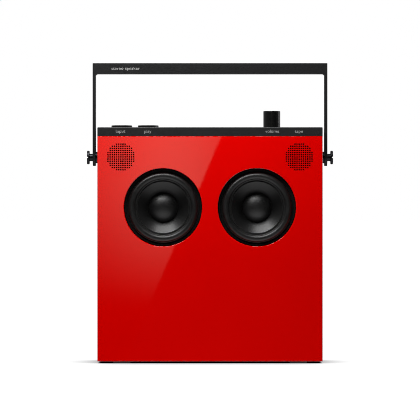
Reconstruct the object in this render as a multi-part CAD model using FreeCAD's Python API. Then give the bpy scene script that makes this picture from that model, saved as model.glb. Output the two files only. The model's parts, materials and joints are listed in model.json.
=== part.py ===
import FreeCAD, Part
import math
import os

# A flat, upright portable stereo: a gloss front panel on a moulded case, two woofers, two tweeters
# behind perforations, a deck of controls on top and a bail handle that swings on two thumb screws.
# Millimetres. X runs to the right, Y from front to back, Z up. The origin is on the floor,
# under the middle of the case.

# ---------------------------------------------------------------- driving dimensions
CASE_WIDTH = 211.0
CASE_DEPTH = 58.0
PANEL_HEIGHT = 211.0
DECK_HEIGHT = 8.35
FOOT_HEIGHT = 1.8
WALL = 2.8
CONTROL_PITCH = 25.0
OUTER_CONTROL_X = 83.5
WOOFER_X = 44.0
WOOFER_Z = 146.0
PIVOT_Z = 193.3
HANDLE_TOP_Z = 282.25

# ---------------------------------------------------------------- case
FRONT = -CASE_DEPTH / 2
BACK = CASE_DEPTH / 2
HALF_WIDTH = CASE_WIDTH / 2
CASE_FLOOR_Z = FOOT_HEIGHT
PANEL_TOP_Z = CASE_FLOOR_Z + PANEL_HEIGHT
DECK_TOP_Z = PANEL_TOP_Z + DECK_HEIGHT
INNER_X = HALF_WIDTH - WALL
INNER_BACK = BACK - WALL
PANEL_THICKNESS = 3.0
BAFFLE_FRONT = FRONT + PANEL_THICKNESS
BAFFLE_THICKNESS = 5.5
BAFFLE_BACK = BAFFLE_FRONT + BAFFLE_THICKNESS
PANEL_EDGE_RADIUS = 0.6
CASE_EDGE_RADIUS = 2.0
PARTING_RADIUS = 0.5

# perforations in front of each tweeter: square holes on a square grid inside a circle
HOLE_PITCH = 2.0
HOLE_SIDE = 1.32
GRID_REACH = 6
GRID_RADIUS = 6.5
GRILLE_SKIN = 1.2
POCKET_RADIUS = 14.8

# the posts that the rear screws reach, as (x, z)
POST_PLACES = [(-97, 10), (97, 10), (-97, 108), (97, 108), (-97, 175), (97, 175), (0, 108)]
POST_RADIUS = 3.6
POST_END = 20.0
SCREW_RADIUS = 1.5
SCREW_HEAD_RADIUS = 2.9
SCREW_HEAD_HEIGHT = 1.7
LOW_HEAD_RADIUS = 2.3
LOW_HEAD_HEIGHT = 1.2
HOLE_PLAY = 0.1

# bass port and connector bay in the back wall
PORT_Z = 178.0
PORT_BORE = 13.0
PORT_OUTER = 15.0
PORT_FLANGE = 18.5
PORT_FLANGE_DEPTH = 1.5
PORT_INNER_END = -6.0
BAY_Z = 40.0
BAY_HALF_WIDTH = 32.0
BAY_HALF_HEIGHT = 12.0
BAY_FLOOR = 22.0
BAY_WALL = 2.0
JACK_X = 15.0
USB_X = -12.0
JACK_BORE = 1.8
JACK_NOSE = 1.0
JACK_DEPTH = 14.0

# ---------------------------------------------------------------- woofers, depths behind the front face
OPENING_RADIUS = 36.6
FLANGE_RADIUS = 41.5
FLANGE_DEPTH = 4.8
SHEET = 1.0
ROLL_OUTER = 32.6
ROLL_INNER = 26.2
RUBBER = 0.6
CONE_LIP = 24.0
CONE_EDGE = 25.6
CONE_THROAT = 12.9
CONE_DEPTH = 9.6
SHELF_DEPTH = 17.4
DUST_CAP_RADIUS = 13.8
DUST_CAP_RISE = 6.6
COIL_RADIUS = 12.5
PLATE_DEPTH = 22.0
WOOFER_SCREW_CIRCLE = 39.0

# ---------------------------------------------------------------- tweeters
TWEETER_FLANGE = 14.6
TWEETER_CUP = 12.0
TWEETER_DOME = 6.8
TWEETER_DEPTH = 13.0

# ---------------------------------------------------------------- top deck and controls
DECK_WALL = 2.0
DECK_SKIRT = 2.4
DECK_UNDERSIDE = DECK_TOP_Z - DECK_WALL
BUTTON_X = {"input": -OUTER_CONTROL_X, "play": -OUTER_CONTROL_X + CONTROL_PITCH}
KNOB_X = OUTER_CONTROL_X - CONTROL_PITCH
DIAL_X = OUTER_CONTROL_X
BUTTON_RADIUS = 9.8
BUTTON_RISE = 2.45
KNOB_RADIUS = 8.0
KNOB_HEIGHT = 16.05
DIAL_RADIUS = 15.5
CONTROL_GAP = 0.3
BOARD_TOP_Z = 207.0
BOARD = 1.6
CONTROL_BOARD_X = 95.0
CONTROL_BOARD_Y = 12.5
DECK_SCREW_PLACES = [(-96, 20), (96, 20), (-30, -16.5), (30, -16.5)]
BOARD_BOSS_PLACES = [(-38, -8), (38, -8), (-38, 8), (38, 8)]
LEDGE_TOP_Z = 208.0
LEDGE = 4.0

# ---------------------------------------------------------------- handle
HANDLE_INNER_X = 108.25
HANDLE_THICKNESS = 2.6
HANDLE_OUTER_X = HANDLE_INNER_X + HANDLE_THICKNESS
HANDLE_HALF_DEPTH = 8.0
HANDLE_BAR = 9.9
HANDLE_CORNER = 2.0
SHANK_RADIUS = 2.5
SPACER_RADIUS = 5.45
THUMB_NECK_RADIUS = 3.5
THUMB_DISC_RADIUS = 6.45
THUMB_DISC_X = 114.0
OVERALL_HALF_WIDTH = 116.3
FACE_PLAY = 0.05

# ---------------------------------------------------------------- battery and main board
CELL_RADIUS = 9.2
CELL_LENGTH = 65.0
CELL_Y = -9.0
CELL_ROWS_Z = [17.0, 36.4]
CELL_START_X = 2.5
TRAY_FLOOR_Z = CASE_FLOOR_Z + WALL
MAIN_BOARD_BACK = 8.5
MAIN_BOARD_X = 60.0
MAIN_BOARD_Z = (20.0, 80.0)
MAIN_BOSS_PLACES = [(-55, 25), (55, 25), (-55, 75), (55, 75)]
FOOT_RADIUS = 8.25
FOOT_PLACES = [(-83, -17), (83, -17), (-83, 17), (83, 17)]
FOOT_SEAT = 1.2


# ---------------------------------------------------------------- shape helpers
def vec(x, y, z):
    return FreeCAD.Vector(x, y, z)


def box(x0, x1, y0, y1, z0, z1):
    """A block between two corners."""
    return Part.makeBox(x1 - x0, y1 - y0, z1 - z0, vec(x0, y0, z0))


def rod_x(radius, x0, x1, y, z):
    return Part.makeCylinder(radius, x1 - x0, vec(x0, y, z), vec(1, 0, 0))


def rod_y(radius, y0, y1, x, z):
    return Part.makeCylinder(radius, y1 - y0, vec(x, y0, z), vec(0, 1, 0))


def rod_z(radius, z0, z1, x, y):
    return Part.makeCylinder(radius, z1 - z0, vec(x, y, z0), vec(0, 0, 1))


def outline(start, steps, place):
    """A closed face. A step is the next corner, or a pair: a point that an arc passes, and its end."""
    here = place(*start)
    edges = []
    for step in steps:
        if isinstance(step[0], tuple):
            through, end = place(*step[0]), place(*step[1])
            edges.append(Part.Arc(here, through, end).toShape())
        else:
            end = place(*step)
            edges.append(Part.LineSegment(here, end).toShape())
        here = end
    edges.append(Part.LineSegment(here, place(*start)).toShape())
    return Part.Face(Part.Wire(edges))


def turned_y(start, steps, x, z):
    """A solid turned about an axis along Y through (x, z). Corners are (radius, depth behind the front)."""
    face = outline(start, steps, lambda radius, depth: vec(x + radius, FRONT + depth, z))
    return face.revolve(vec(x, 0, z), vec(0, 1, 0), 360)


def turned_z(start, steps, x, y):
    """A solid turned about an upright axis through (x, y). Corners are (radius, height)."""
    face = outline(start, steps, lambda radius, height: vec(x + radius, y, height))
    return face.revolve(vec(x, y, 0), vec(0, 0, 1), 360)


def turned_x(start, steps, y, z):
    """A solid turned about an axis along X through (y, z). Corners are (distance along X, radius)."""
    face = outline(start, steps, lambda along, radius: vec(along, y, z + radius))
    return face.revolve(vec(0, y, z), vec(1, 0, 0), 360)


def mirrored(shape):
    """The same piece on the left side."""
    return shape.mirror(vec(0, 0, 0), vec(1, 0, 0))


def both_sides(shape):
    return [shape, mirrored(shape)]


def rounded(shape, radius, wanted):
    """Rounds every edge that the test picks."""
    return shape.makeFillet(radius, [edge for edge in shape.Edges if wanted(edge)])


def span(edge):
    return edge.BoundBox


def cap_arc(radius, rim, apex):
    """Arc from a rim point to the apex, as a middle point and the end. Its centre is on the axis."""
    rise = rim - apex
    sphere = (radius ** 2 + rise ** 2) / (2 * rise)
    lean = math.asin(radius / abs(sphere)) / 2
    return (abs(sphere) * math.sin(lean), apex + sphere * (1 - math.cos(lean))), (0, apex)


def domed_shell(radius, rim, apex, wall):
    """Outline of a thin spherical shell, as a start point and its steps."""
    inner_radius = radius - wall
    outer_middle, outer_end = cap_arc(radius, rim, apex)
    inner_middle, inner_end = cap_arc(inner_radius, rim, apex + wall)
    return (radius, rim), [(outer_middle, outer_end), inner_end, (inner_middle, (inner_radius, rim))]


def save(name, *solids):
    shape = solids[0] if len(solids) == 1 else Part.makeCompound(list(solids))
    shape.exportStep(f"parts/{name}.step")
    print(name, len(shape.Solids), shape.isValid(), round(shape.Volume))


# ---------------------------------------------------------------- case
def grille_holes(x):
    """One square cutter for each hole of the round perforated field."""
    half = HOLE_SIDE / 2
    holes = []
    for column in range(-GRID_REACH, GRID_REACH + 1):
        for row in range(-GRID_REACH, GRID_REACH + 1):
            if column ** 2 + row ** 2 > GRID_RADIUS ** 2:
                continue
            hole_x = x + column * HOLE_PITCH
            hole_z = PIVOT_Z + row * HOLE_PITCH
            holes.append(box(hole_x - half, hole_x + half, FRONT - 1, BAFFLE_FRONT,
                             hole_z - half, hole_z + half))
    return holes


def front_panel():
    """Gloss plate over the whole front, perforated in front of the tweeters."""
    plate = box(-HALF_WIDTH, HALF_WIDTH, FRONT, BAFFLE_FRONT, CASE_FLOOR_Z, PANEL_TOP_Z)
    for x in (-WOOFER_X, WOOFER_X):
        plate = plate.cut(rod_y(OPENING_RADIUS, FRONT - 1, BAFFLE_FRONT + 1, x, WOOFER_Z))
    plate = rounded(plate, PANEL_EDGE_RADIUS, lambda edge: span(edge).YMax < FRONT + 0.1)
    cutters = []
    for x in (-OUTER_CONTROL_X, OUTER_CONTROL_X):
        cutters.append(rod_y(POCKET_RADIUS, FRONT + GRILLE_SKIN, BAFFLE_FRONT + 1, x, PIVOT_Z))
    plate = plate.cut(cutters)
    return plate.cut(grille_holes(-OUTER_CONTROL_X) + grille_holes(OUTER_CONTROL_X))


def baffle():
    """Plate that carries the drivers, with long posts for the rear screws."""
    fit = HOLE_PLAY
    plate = box(-INNER_X + fit, INNER_X - fit, BAFFLE_FRONT, BAFFLE_BACK,
                CASE_FLOOR_Z + WALL + fit, PANEL_TOP_Z)
    posts = [rod_y(POST_RADIUS, BAFFLE_BACK - 1, POST_END, x, z) for x, z in POST_PLACES]
    lugs = []
    for x, y in DECK_SCREW_PLACES:
        if y < 0:
            lugs.append(box(x - 5, x + 5, BAFFLE_BACK - 1, y + 4, LEDGE_TOP_Z - LEDGE, LEDGE_TOP_Z))
    plate = plate.fuse(posts + lugs)
    cutters = [rod_y(SCREW_RADIUS + FACE_PLAY, POST_END - 9, POST_END + 1, x, z) for x, z in POST_PLACES]
    seat = FRONT + FLANGE_DEPTH + SHEET
    for x in (-WOOFER_X, WOOFER_X):
        cutters.append(rod_y(FLANGE_RADIUS + 0.3, BAFFLE_FRONT - 1, seat, x, WOOFER_Z))
        cutters.append(rod_y(35.0, seat - 1, BAFFLE_BACK + 1, x, WOOFER_Z))
        cutters += [rod_y(SCREW_RADIUS + FACE_PLAY, seat - 1, BAFFLE_BACK + 1, place_x, place_z)
                    for place_x, place_z in woofer_screw_places(x)]
    for x in (-OUTER_CONTROL_X, OUTER_CONTROL_X):
        cutters.append(rod_y(TWEETER_FLANGE + 0.2, BAFFLE_FRONT - 1, FRONT + 4.6, x, PIVOT_Z))
        cutters.append(rod_y(TWEETER_CUP + 0.2, BAFFLE_FRONT, BAFFLE_BACK + 1, x, PIVOT_Z))
    for x, y in DECK_SCREW_PLACES:
        if y < 0:
            cutters.append(rod_z(SCREW_RADIUS + FACE_PLAY, LEDGE_TOP_Z - LEDGE - 1, LEDGE_TOP_Z + 1, x, y))
    return plate.cut(cutters)


def connector_bay():
    """Block behind the back wall, out of which the bay for the sockets is cut."""
    return box(-BAY_HALF_WIDTH - BAY_WALL, BAY_HALF_WIDTH + BAY_WALL, BAY_FLOOR, INNER_BACK,
               BAY_Z - BAY_HALF_HEIGHT - BAY_WALL, BAY_Z + BAY_HALF_HEIGHT + BAY_WALL)


def rear_housing():
    """Moulded tub: back, sides and bottom, with bosses, ledges and the connector bay."""
    tub = box(-HALF_WIDTH, HALF_WIDTH, BAFFLE_FRONT, BACK, CASE_FLOOR_Z, PANEL_TOP_Z)
    tub = rounded(tub, CASE_EDGE_RADIUS, lambda edge: span(edge).YMin > BACK - 0.1
                  and span(edge).ZMin < PANEL_TOP_Z - 1)
    tub = rounded(tub, PARTING_RADIUS, lambda edge: span(edge).YMax < BAFFLE_FRONT + 0.1
                  and span(edge).ZMin < PANEL_TOP_Z - 1)
    tub = tub.cut(box(-INNER_X, INNER_X, BAFFLE_FRONT - 1, INNER_BACK, CASE_FLOOR_Z + WALL, PANEL_TOP_Z + 1))
    added = [connector_bay()]
    added += [rod_y(POST_RADIUS, POST_END, INNER_BACK + 1, x, z) for x, z in POST_PLACES]
    added += [rod_y(3.0, MAIN_BOARD_BACK, INNER_BACK + 1, x, z) for x, z in MAIN_BOSS_PLACES]
    for x, y in DECK_SCREW_PLACES:
        if y > 0:
            side = math.copysign(1, x)
            x0, x1 = sorted((x - side * 5, side * (INNER_X + 1)))
            added.append(box(x0, x1, y - 6, INNER_BACK + 1, LEDGE_TOP_Z - LEDGE, LEDGE_TOP_Z))
    tub = tub.fuse(added)
    cutters = [box(-BAY_HALF_WIDTH, BAY_HALF_WIDTH, BAY_FLOOR - 1, BACK + 1,
                   BAY_Z - BAY_HALF_HEIGHT, BAY_Z + BAY_HALF_HEIGHT)]
    for x, z in POST_PLACES:
        cutters.append(rod_y(SCREW_RADIUS + HOLE_PLAY, POST_END - 1, BACK, x, z))
        cutters.append(rod_y(SCREW_HEAD_RADIUS + 0.3, BACK - SCREW_HEAD_HEIGHT - 0.3, BACK + 1, x, z))
    cutters += [rod_y(1.0 + FACE_PLAY, MAIN_BOARD_BACK - 1, INNER_BACK, x, z) for x, z in MAIN_BOSS_PLACES]
    cutters.append(rod_y(PORT_OUTER + 0.1, INNER_BACK - 1, BACK + 1, 0, PORT_Z))
    cutters.append(rod_y(PORT_FLANGE + 0.2, BACK - PORT_FLANGE_DEPTH, BACK + 1, 0, PORT_Z))
    for x, y in DECK_SCREW_PLACES:
        if y > 0:
            cutters.append(rod_z(SCREW_RADIUS + HOLE_PLAY, LEDGE_TOP_Z - LEDGE - 1, LEDGE_TOP_Z + 1, x, y))
    cutters += [rod_z(FOOT_RADIUS + 0.1, CASE_FLOOR_Z - 1, CASE_FLOOR_Z + FOOT_SEAT, x, y)
                for x, y in FOOT_PLACES]
    cutters += both_sides(rod_x(4.55, INNER_X - 1, HALF_WIDTH + 1, 0, PIVOT_Z))
    return tub.cut(cutters)


def bass_port():
    """Flanged tube through the back wall, flared at its mouth."""
    mouth = BACK - FRONT
    end = PORT_INNER_END - FRONT
    return turned_y((PORT_BORE, end), [(PORT_OUTER, end), (PORT_OUTER, mouth - PORT_FLANGE_DEPTH),
                    (PORT_FLANGE, mouth - PORT_FLANGE_DEPTH), (PORT_FLANGE, mouth - 0.4),
                    (PORT_FLANGE - 0.4, mouth), (PORT_BORE + 2.5, mouth),
                    ((PORT_BORE + 0.73, mouth - 0.73), (PORT_BORE, mouth - 2.5))], 0, PORT_Z)


def jack_plate():
    """Plate across the bay's floor, with a socket opening each for power and line in."""
    plate = box(-BAY_HALF_WIDTH - BAY_WALL, BAY_HALF_WIDTH + BAY_WALL, BAY_FLOOR - 2.0, BAY_FLOOR,
                BAY_Z - BAY_HALF_HEIGHT - BAY_WALL, BAY_Z + BAY_HALF_HEIGHT + BAY_WALL)
    opening = slot_prism(USB_X, BAY_Z, 9.3, 3.5, BAY_FLOOR - 3, BAY_FLOOR + 1)
    return plate.cut([opening, rod_y(4.1, BAY_FLOOR - 3, BAY_FLOOR + 1, JACK_X, BAY_Z)])


def slot_prism(x, z, width, height, y0, y1):
    """Prism with round ends, lying along X."""
    reach = (width - height) / 2
    middle = box(x - reach, x + reach, y0, y1, z - height / 2, z + height / 2)
    ends = [rod_y(height / 2, y0, y1, x + side * reach, z) for side in (-1, 1)]
    return middle.fuse(ends).removeSplitter()


def usb_socket():
    """Upright socket shell on the main board, with its contact tongue."""
    shell = slot_prism(USB_X, BAY_Z, 9.0, 3.2, MAIN_BOARD_BACK, BAY_FLOOR + 0.6)
    shell = shell.cut(slot_prism(USB_X, BAY_Z, 8.3, 2.5, BAY_FLOOR - 5.5, BAY_FLOOR + 1))
    tongue = box(USB_X - 3.3, USB_X + 3.3, BAY_FLOOR - 6, BAY_FLOOR - 0.4, BAY_Z - 0.35, BAY_Z + 0.35)
    return shell.fuse(tongue)


def line_in_jack():
    """Square jack body on the main board, with a round nose that stands through the plate."""
    face = BAY_FLOOR + JACK_NOSE
    body = box(JACK_X - 4, JACK_X + 4, MAIN_BOARD_BACK, BAY_FLOOR - 2.1, BAY_Z - 4, BAY_Z + 4)
    body = body.fuse(rod_y(4.0, BAY_FLOOR - 3, face, JACK_X, BAY_Z))
    return body.cut(rod_y(JACK_BORE, face - JACK_DEPTH, face + 1, JACK_X, BAY_Z))


def feet():
    pads = []
    for x, y in FOOT_PLACES:
        pads.append(turned_z((0, 0), [(FOOT_RADIUS - 0.5, 0), (FOOT_RADIUS, 0.5),
                    (FOOT_RADIUS, FOOT_HEIGHT + FOOT_SEAT), (0, FOOT_HEIGHT + FOOT_SEAT)], x, y))
    return pads


# ---------------------------------------------------------------- fasteners
def screw_y(x, z, seat, length, direction):
    """Pan-head screw along Y. The head sits on the seat, and the shank runs in the direction given."""
    tip = seat + direction * length
    shank = rod_y(SCREW_RADIUS, min(seat, tip), max(seat, tip), x, z)
    head_end = seat - direction * SCREW_HEAD_HEIGHT
    head = rod_y(SCREW_HEAD_RADIUS, min(seat, head_end), max(seat, head_end), x, z)
    recess = cross_recess().copy()
    recess.rotate(vec(0, 0, 0), vec(1, 0, 0), 90 * direction)
    recess.translate(vec(x, head_end, z))
    return head.fuse(shank).cut(recess)


def screw_z(x, y, seat, length, radius):
    """Screw driven upwards, with its head under the seat."""
    head = rod_z(radius * 1.9, seat - 1.5, seat, x, y)
    shank = rod_z(radius, seat, seat + length, x, y)
    recess = cross_recess().copy()
    recess.rotate(vec(0, 0, 0), vec(1, 0, 0), 180)
    recess.translate(vec(x, y, seat - 1.5))
    return head.fuse(shank).cut(recess)


def cross_recess():
    """Cross-shaped cutter, sunk 0.9 below its own top plane."""
    return box(-1.5, 1.5, -0.35, 0.35, -0.9, 1).fuse(box(-0.35, 0.35, -1.5, 1.5, -0.9, 1))


def woofer_screw_places(x):
    reach = WOOFER_SCREW_CIRCLE * math.sqrt(0.5)
    return [(x + side * reach, WOOFER_Z + rise * reach) for side in (-1, 1) for rise in (-1, 1)]


def rear_screws():
    return [screw_y(x, z, BACK - SCREW_HEAD_HEIGHT - 0.3, 14.0, -1) for x, z in POST_PLACES]


def woofer_screws():
    """Low countersunk screws that hold the driver flanges; the panel covers their heads."""
    screws = []
    for x in (-WOOFER_X, WOOFER_X):
        for place_x, place_z in woofer_screw_places(x):
            seat = FRONT + FLANGE_DEPTH
            head = rod_y(LOW_HEAD_RADIUS, seat - LOW_HEAD_HEIGHT, seat, place_x, place_z)
            shank = rod_y(SCREW_RADIUS, seat, BAFFLE_BACK + 3, place_x, place_z)
            screws.append(head.fuse(shank))
    return screws


def deck_screws():
    return [screw_z(x, y, LEDGE_TOP_Z - LEDGE, 12.0, SCREW_RADIUS) for x, y in DECK_SCREW_PLACES]


def board_screws():
    upper = [screw_z(x, y, BOARD_TOP_Z - BOARD, 7.0, 1.0) for x, y in BOARD_BOSS_PLACES]
    seat = MAIN_BOARD_BACK - BOARD
    lower = []
    for x, z in MAIN_BOSS_PLACES:
        head = rod_y(1.9, seat - 1.5, seat, x, z)
        lower.append(head.fuse(rod_y(1.0, seat, seat + 8.0, x, z)))
    return upper + lower


# ---------------------------------------------------------------- top deck and controls
def top_deck():
    """Cap over the case with the control openings, bosses below for its own screws and the board."""
    cap = box(-HALF_WIDTH, HALF_WIDTH, FRONT, BACK, PANEL_TOP_Z, DECK_TOP_Z)
    cap = rounded(cap, 0.8, lambda edge: span(edge).ZMin > DECK_TOP_Z - 0.1)
    skirt_x, skirt_y = HALF_WIDTH - DECK_SKIRT, BACK - DECK_SKIRT
    cap = cap.cut(box(-skirt_x, skirt_x, -skirt_y, skirt_y, PANEL_TOP_Z - 1, DECK_UNDERSIDE))
    bosses = [rod_z(3.3, LEDGE_TOP_Z, DECK_UNDERSIDE + 1, x, y) for x, y in DECK_SCREW_PLACES]
    bosses += [rod_z(2.6, BOARD_TOP_Z, DECK_UNDERSIDE + 1, x, y) for x, y in BOARD_BOSS_PLACES]
    cap = cap.fuse(bosses)
    cutters = [rod_z(SCREW_RADIUS + FACE_PLAY, LEDGE_TOP_Z - 1, DECK_UNDERSIDE, x, y)
               for x, y in DECK_SCREW_PLACES]
    cutters += [rod_z(1.0 + FACE_PLAY, BOARD_TOP_Z - 1, DECK_UNDERSIDE, x, y) for x, y in BOARD_BOSS_PLACES]
    cutters += [rod_z(BUTTON_RADIUS + CONTROL_GAP, DECK_UNDERSIDE - 1, DECK_TOP_Z + 1, x, 0)
                for x in BUTTON_X.values()]
    cutters.append(rod_z(3.6, DECK_UNDERSIDE - 1, DECK_TOP_Z + 1, KNOB_X, 0))
    cutters.append(rod_z(DIAL_RADIUS + CONTROL_GAP, DECK_UNDERSIDE - 1, DECK_TOP_Z + 1, DIAL_X, 0))
    return cap.cut(cutters)


def button(x):
    """Round cap with a retaining flange under the deck and a stem down to its dome."""
    top = DECK_TOP_Z + BUTTON_RISE
    flange_top = DECK_UNDERSIDE - 0.1
    flange_low = flange_top - 1.6
    stem_low = BOARD_TOP_Z + 4.5
    side, flange, dish = BUTTON_RADIUS, BUTTON_RADIUS + 1.3, BUTTON_RADIUS - 3.0
    return turned_z((0, stem_low), [(2.0, stem_low), (2.0, flange_low), (flange, flange_low),
                    (flange, flange_top), (side, flange_top), (side, top - 0.4),
                    ((side - 0.12, top - 0.12), (side - 0.4, top)),
                    (dish, top), cap_arc(dish, top, top - 0.35)], x, 0)


def return_dome(x):
    """Silicone dome that pushes a button back up."""
    base = BOARD_TOP_Z
    return turned_z((3.0, base), [(6.0, base), (6.0, base + 0.8), (5.0, base + 0.8), (2.6, base + 4.5),
                    (0, base + 4.5), (0, base + 3.3), (2.0, base + 3.3), (4.2, base + 0.6),
                    (3.0, base + 0.6)], x, 0)


def control_board():
    board = box(-CONTROL_BOARD_X, CONTROL_BOARD_X, -CONTROL_BOARD_Y, CONTROL_BOARD_Y,
                BOARD_TOP_Z - BOARD, BOARD_TOP_Z)
    return board.cut([rod_z(1.2, BOARD_TOP_Z - 2, BOARD_TOP_Z + 1, x, y) for x, y in BOARD_BOSS_PLACES])


def volume_knob():
    """Tall plain cylinder with a pointer groove across its top, bored for the shaft."""
    low = DECK_TOP_Z + CONTROL_GAP
    top = DECK_TOP_Z + KNOB_HEIGHT
    bored_to = low + 10.0
    side, bore = KNOB_RADIUS, 3.05
    knob = turned_z((bore, low), [(side - 0.3, low), (side, low + 0.3), (side, top - 0.5),
                    ((side - 0.15, top - 0.15), (side - 0.5, top)), (0, top), (0, bored_to),
                    (bore, bored_to)], KNOB_X, 0)
    groove = box(KNOB_X - 0.5, KNOB_X + 0.5, -KNOB_RADIUS - 1, -KNOB_RADIUS + 5, top - 0.5, top + 1)
    return knob.cut(groove)


def volume_shaft():
    """Shaft from the potentiometer into the knob, in three steps."""
    low = BOARD_TOP_Z + 3.0
    tip = DECK_TOP_Z + CONTROL_GAP + 9.8
    collar = DECK_TOP_Z - 1.0
    return turned_z((0, low), [(2.4, low), (2.4, collar), (3.0, collar), (3.0, tip - 0.4),
                    (2.6, tip), (0, tip)], KNOB_X, 0)


def volume_pot():
    """Potentiometer body and bushing on the control board."""
    body = box(KNOB_X - 8, KNOB_X + 8, -7, 7, BOARD_TOP_Z, DECK_UNDERSIDE - 4.0)
    body = body.fuse(rod_z(3.4, DECK_UNDERSIDE - 5, DECK_UNDERSIDE - 0.2, KNOB_X, 0))
    bore = rod_z(2.45, BOARD_TOP_Z + 2.9, DECK_UNDERSIDE + 1, KNOB_X, 0)
    return body.cut(bore)


def tape_dial():
    """Flush dial: a rim, a shallow dished face with a finger dimple, and a hub below."""
    top = DECK_TOP_Z - 0.1
    low = top - 2.4
    hub_low = BOARD_TOP_Z + 8.6
    disc = turned_z((1.55, hub_low), [(4.0, hub_low), (4.0, low), (DIAL_RADIUS, low),
                    (DIAL_RADIUS, top - 0.3), (DIAL_RADIUS - 0.3, top), (DIAL_RADIUS - 1.6, top),
                    (DIAL_RADIUS - 2.0, top - 0.5), (4.6, top - 0.5), (4.2, top), (0, top),
                    (0, top - 1.2), (1.55, top - 1.2)], DIAL_X, 0)
    dimple = Part.makeSphere(6.0, vec(DIAL_X, -9.0, top + 4.0))
    return disc.cut(dimple)


def tape_spindle():
    low = BOARD_TOP_Z + 2.0
    return rod_z(1.5, low, DECK_TOP_Z - 1.4, DIAL_X, 0)


def tape_motor():
    """Flat motor under the dial, open at the top for its spindle."""
    top = BOARD_TOP_Z + 8.0
    motor = turned_z((0, BOARD_TOP_Z), [(11.5, BOARD_TOP_Z), (11.5, top - 0.6), (10.9, top), (3.0, top),
                     (3.0, top + 0.4), (0, top + 0.4)], DIAL_X, 0)
    return motor.cut(rod_z(1.55, BOARD_TOP_Z + 1.9, top + 2, DIAL_X, 0))


# ---------------------------------------------------------------- woofers
def woofer_basket(x):
    """Pressed steel frame: flange, windowed cone, spider shelf and pole-plate seat."""
    front = FLANGE_DEPTH
    frame = turned_y((ROLL_OUTER, front), [(FLANGE_RADIUS, front), (FLANGE_RADIUS, front + SHEET),
                     (34.2, front + SHEET), (29.4, SHELF_DEPTH + SHEET), (25.0, SHELF_DEPTH + SHEET),
                     (24.0, PLATE_DEPTH),
                     (15.5, PLATE_DEPTH), (15.5, PLATE_DEPTH - SHEET), (23.1, PLATE_DEPTH - SHEET),
                     (24.0, SHELF_DEPTH), (28.6, SHELF_DEPTH),
                     (ROLL_OUTER, front + SHEET + 1.2)], x, WOOFER_Z)
    window = box(-8, 8, FRONT + 8.5, FRONT + 16.5, 20, 40)
    windows = []
    for turn in range(6):
        cutter = window.copy()
        cutter.rotate(vec(0, 0, 0), vec(0, 1, 0), 30 + 60 * turn)
        cutter.translate(vec(x, 0, WOOFER_Z))
        windows.append(cutter)
    holes = [rod_y(SCREW_RADIUS + HOLE_PLAY, FRONT, FRONT + 8, place_x, place_z)
             for place_x, place_z in woofer_screw_places(x)]
    return frame.cut(windows + holes)


def woofer_surround(x):
    """Half-roll of rubber between the flange and the cone."""
    seat = FLANGE_DEPTH - RUBBER
    middle = (ROLL_OUTER + ROLL_INNER) / 2
    roll = (ROLL_OUTER - ROLL_INNER) / 2
    inner, outer, rim = ROLL_INNER + RUBBER, ROLL_OUTER - RUBBER, OPENING_RADIUS - 0.2
    return turned_y((rim, seat), [(ROLL_OUTER, seat), ((middle, seat - roll), (ROLL_INNER, seat)),
                    (CONE_LIP, seat), (CONE_LIP, FLANGE_DEPTH), (inner, FLANGE_DEPTH),
                    (inner, seat), ((middle, seat - roll + RUBBER), (outer, seat)),
                    (outer, FLANGE_DEPTH), (rim, FLANGE_DEPTH)], x, WOOFER_Z)


def woofer_cone(x):
    """Thin cone with a flat lip for the surround, slightly bowed towards its throat."""
    lip = FLANGE_DEPTH
    throat = lip + CONE_DEPTH
    bow_radius = (CONE_LIP + CONE_THROAT) / 2 - 0.35
    bow_depth = (lip + throat) / 2 + 0.35
    wall = 0.7
    return turned_y((CONE_EDGE, lip), [(CONE_LIP, lip), ((bow_radius, bow_depth), (CONE_THROAT, throat)),
                    (CONE_THROAT, throat + wall + 0.2),
                    ((bow_radius + 0.1, bow_depth + wall + 0.2), (CONE_LIP + 0.3, lip + wall)),
                    (CONE_EDGE, lip + wall)], x, WOOFER_Z)


def woofer_dust_cap(x):
    """Domed cap glued over the voice coil."""
    rim = FLANGE_DEPTH + CONE_DEPTH - 0.85
    return turned_y(*domed_shell(DUST_CAP_RADIUS, rim, rim - DUST_CAP_RISE, 0.5), x, WOOFER_Z)


def woofer_voice_coil(x):
    """Former with its winding in the magnet gap."""
    start = FLANGE_DEPTH + CONE_DEPTH - 0.6
    return turned_y((COIL_RADIUS, start), [(CONE_THROAT, start), (CONE_THROAT, 21.5), (13.3, 21.5),
                    (13.3, 26.5), (CONE_THROAT, 26.5), (CONE_THROAT, 27.0), (COIL_RADIUS, 27.0)], x, WOOFER_Z)


def woofer_spider(x):
    """Corrugated cloth disc that centres the coil; its flat rim lies on the basket's shelf."""
    inner, outer, rim, waves = CONE_THROAT, 23.7, 27.0, 4
    step = (outer - inner) / (2 * waves)
    depth, cloth, swing = SHELF_DEPTH - 0.4, 0.4, 0.6
    front, back = [], []
    for wave in range(2 * waves):
        start = inner + wave * step
        side = swing if wave % 2 else -swing
        front.append(((start + step / 2, depth + side), (start + step, depth)))
        back.append(((start + step / 2, depth + side + cloth), (start, depth + cloth)))
    steps = front + [(rim, depth), (rim, depth + cloth), (outer, depth + cloth)] + back[::-1]
    return turned_y((inner, depth), steps, x, WOOFER_Z)


def woofer_top_plate(x):
    return turned_y((13.75, PLATE_DEPTH), [(24.0, PLATE_DEPTH), (24.0, 25.0), (13.75, 25.0)], x, WOOFER_Z)


def woofer_magnet(x):
    return turned_y((15.5, 25.0), [(26.6, 25.0), (27.0, 25.4), (27.0, 33.6), (26.6, 34.0),
                    (15.5, 34.0)], x, WOOFER_Z)


def woofer_yoke(x):
    """Back plate and vented pole in one forging."""
    return turned_y((4.0, PLATE_DEPTH), [(12.1, PLATE_DEPTH), (12.1, 34.0), (24.2, 34.0), (25.0, 34.8),
                    (25.0, 37.0), (6.0, 37.0), (4.0, 35.0)], x, WOOFER_Z)


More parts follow.
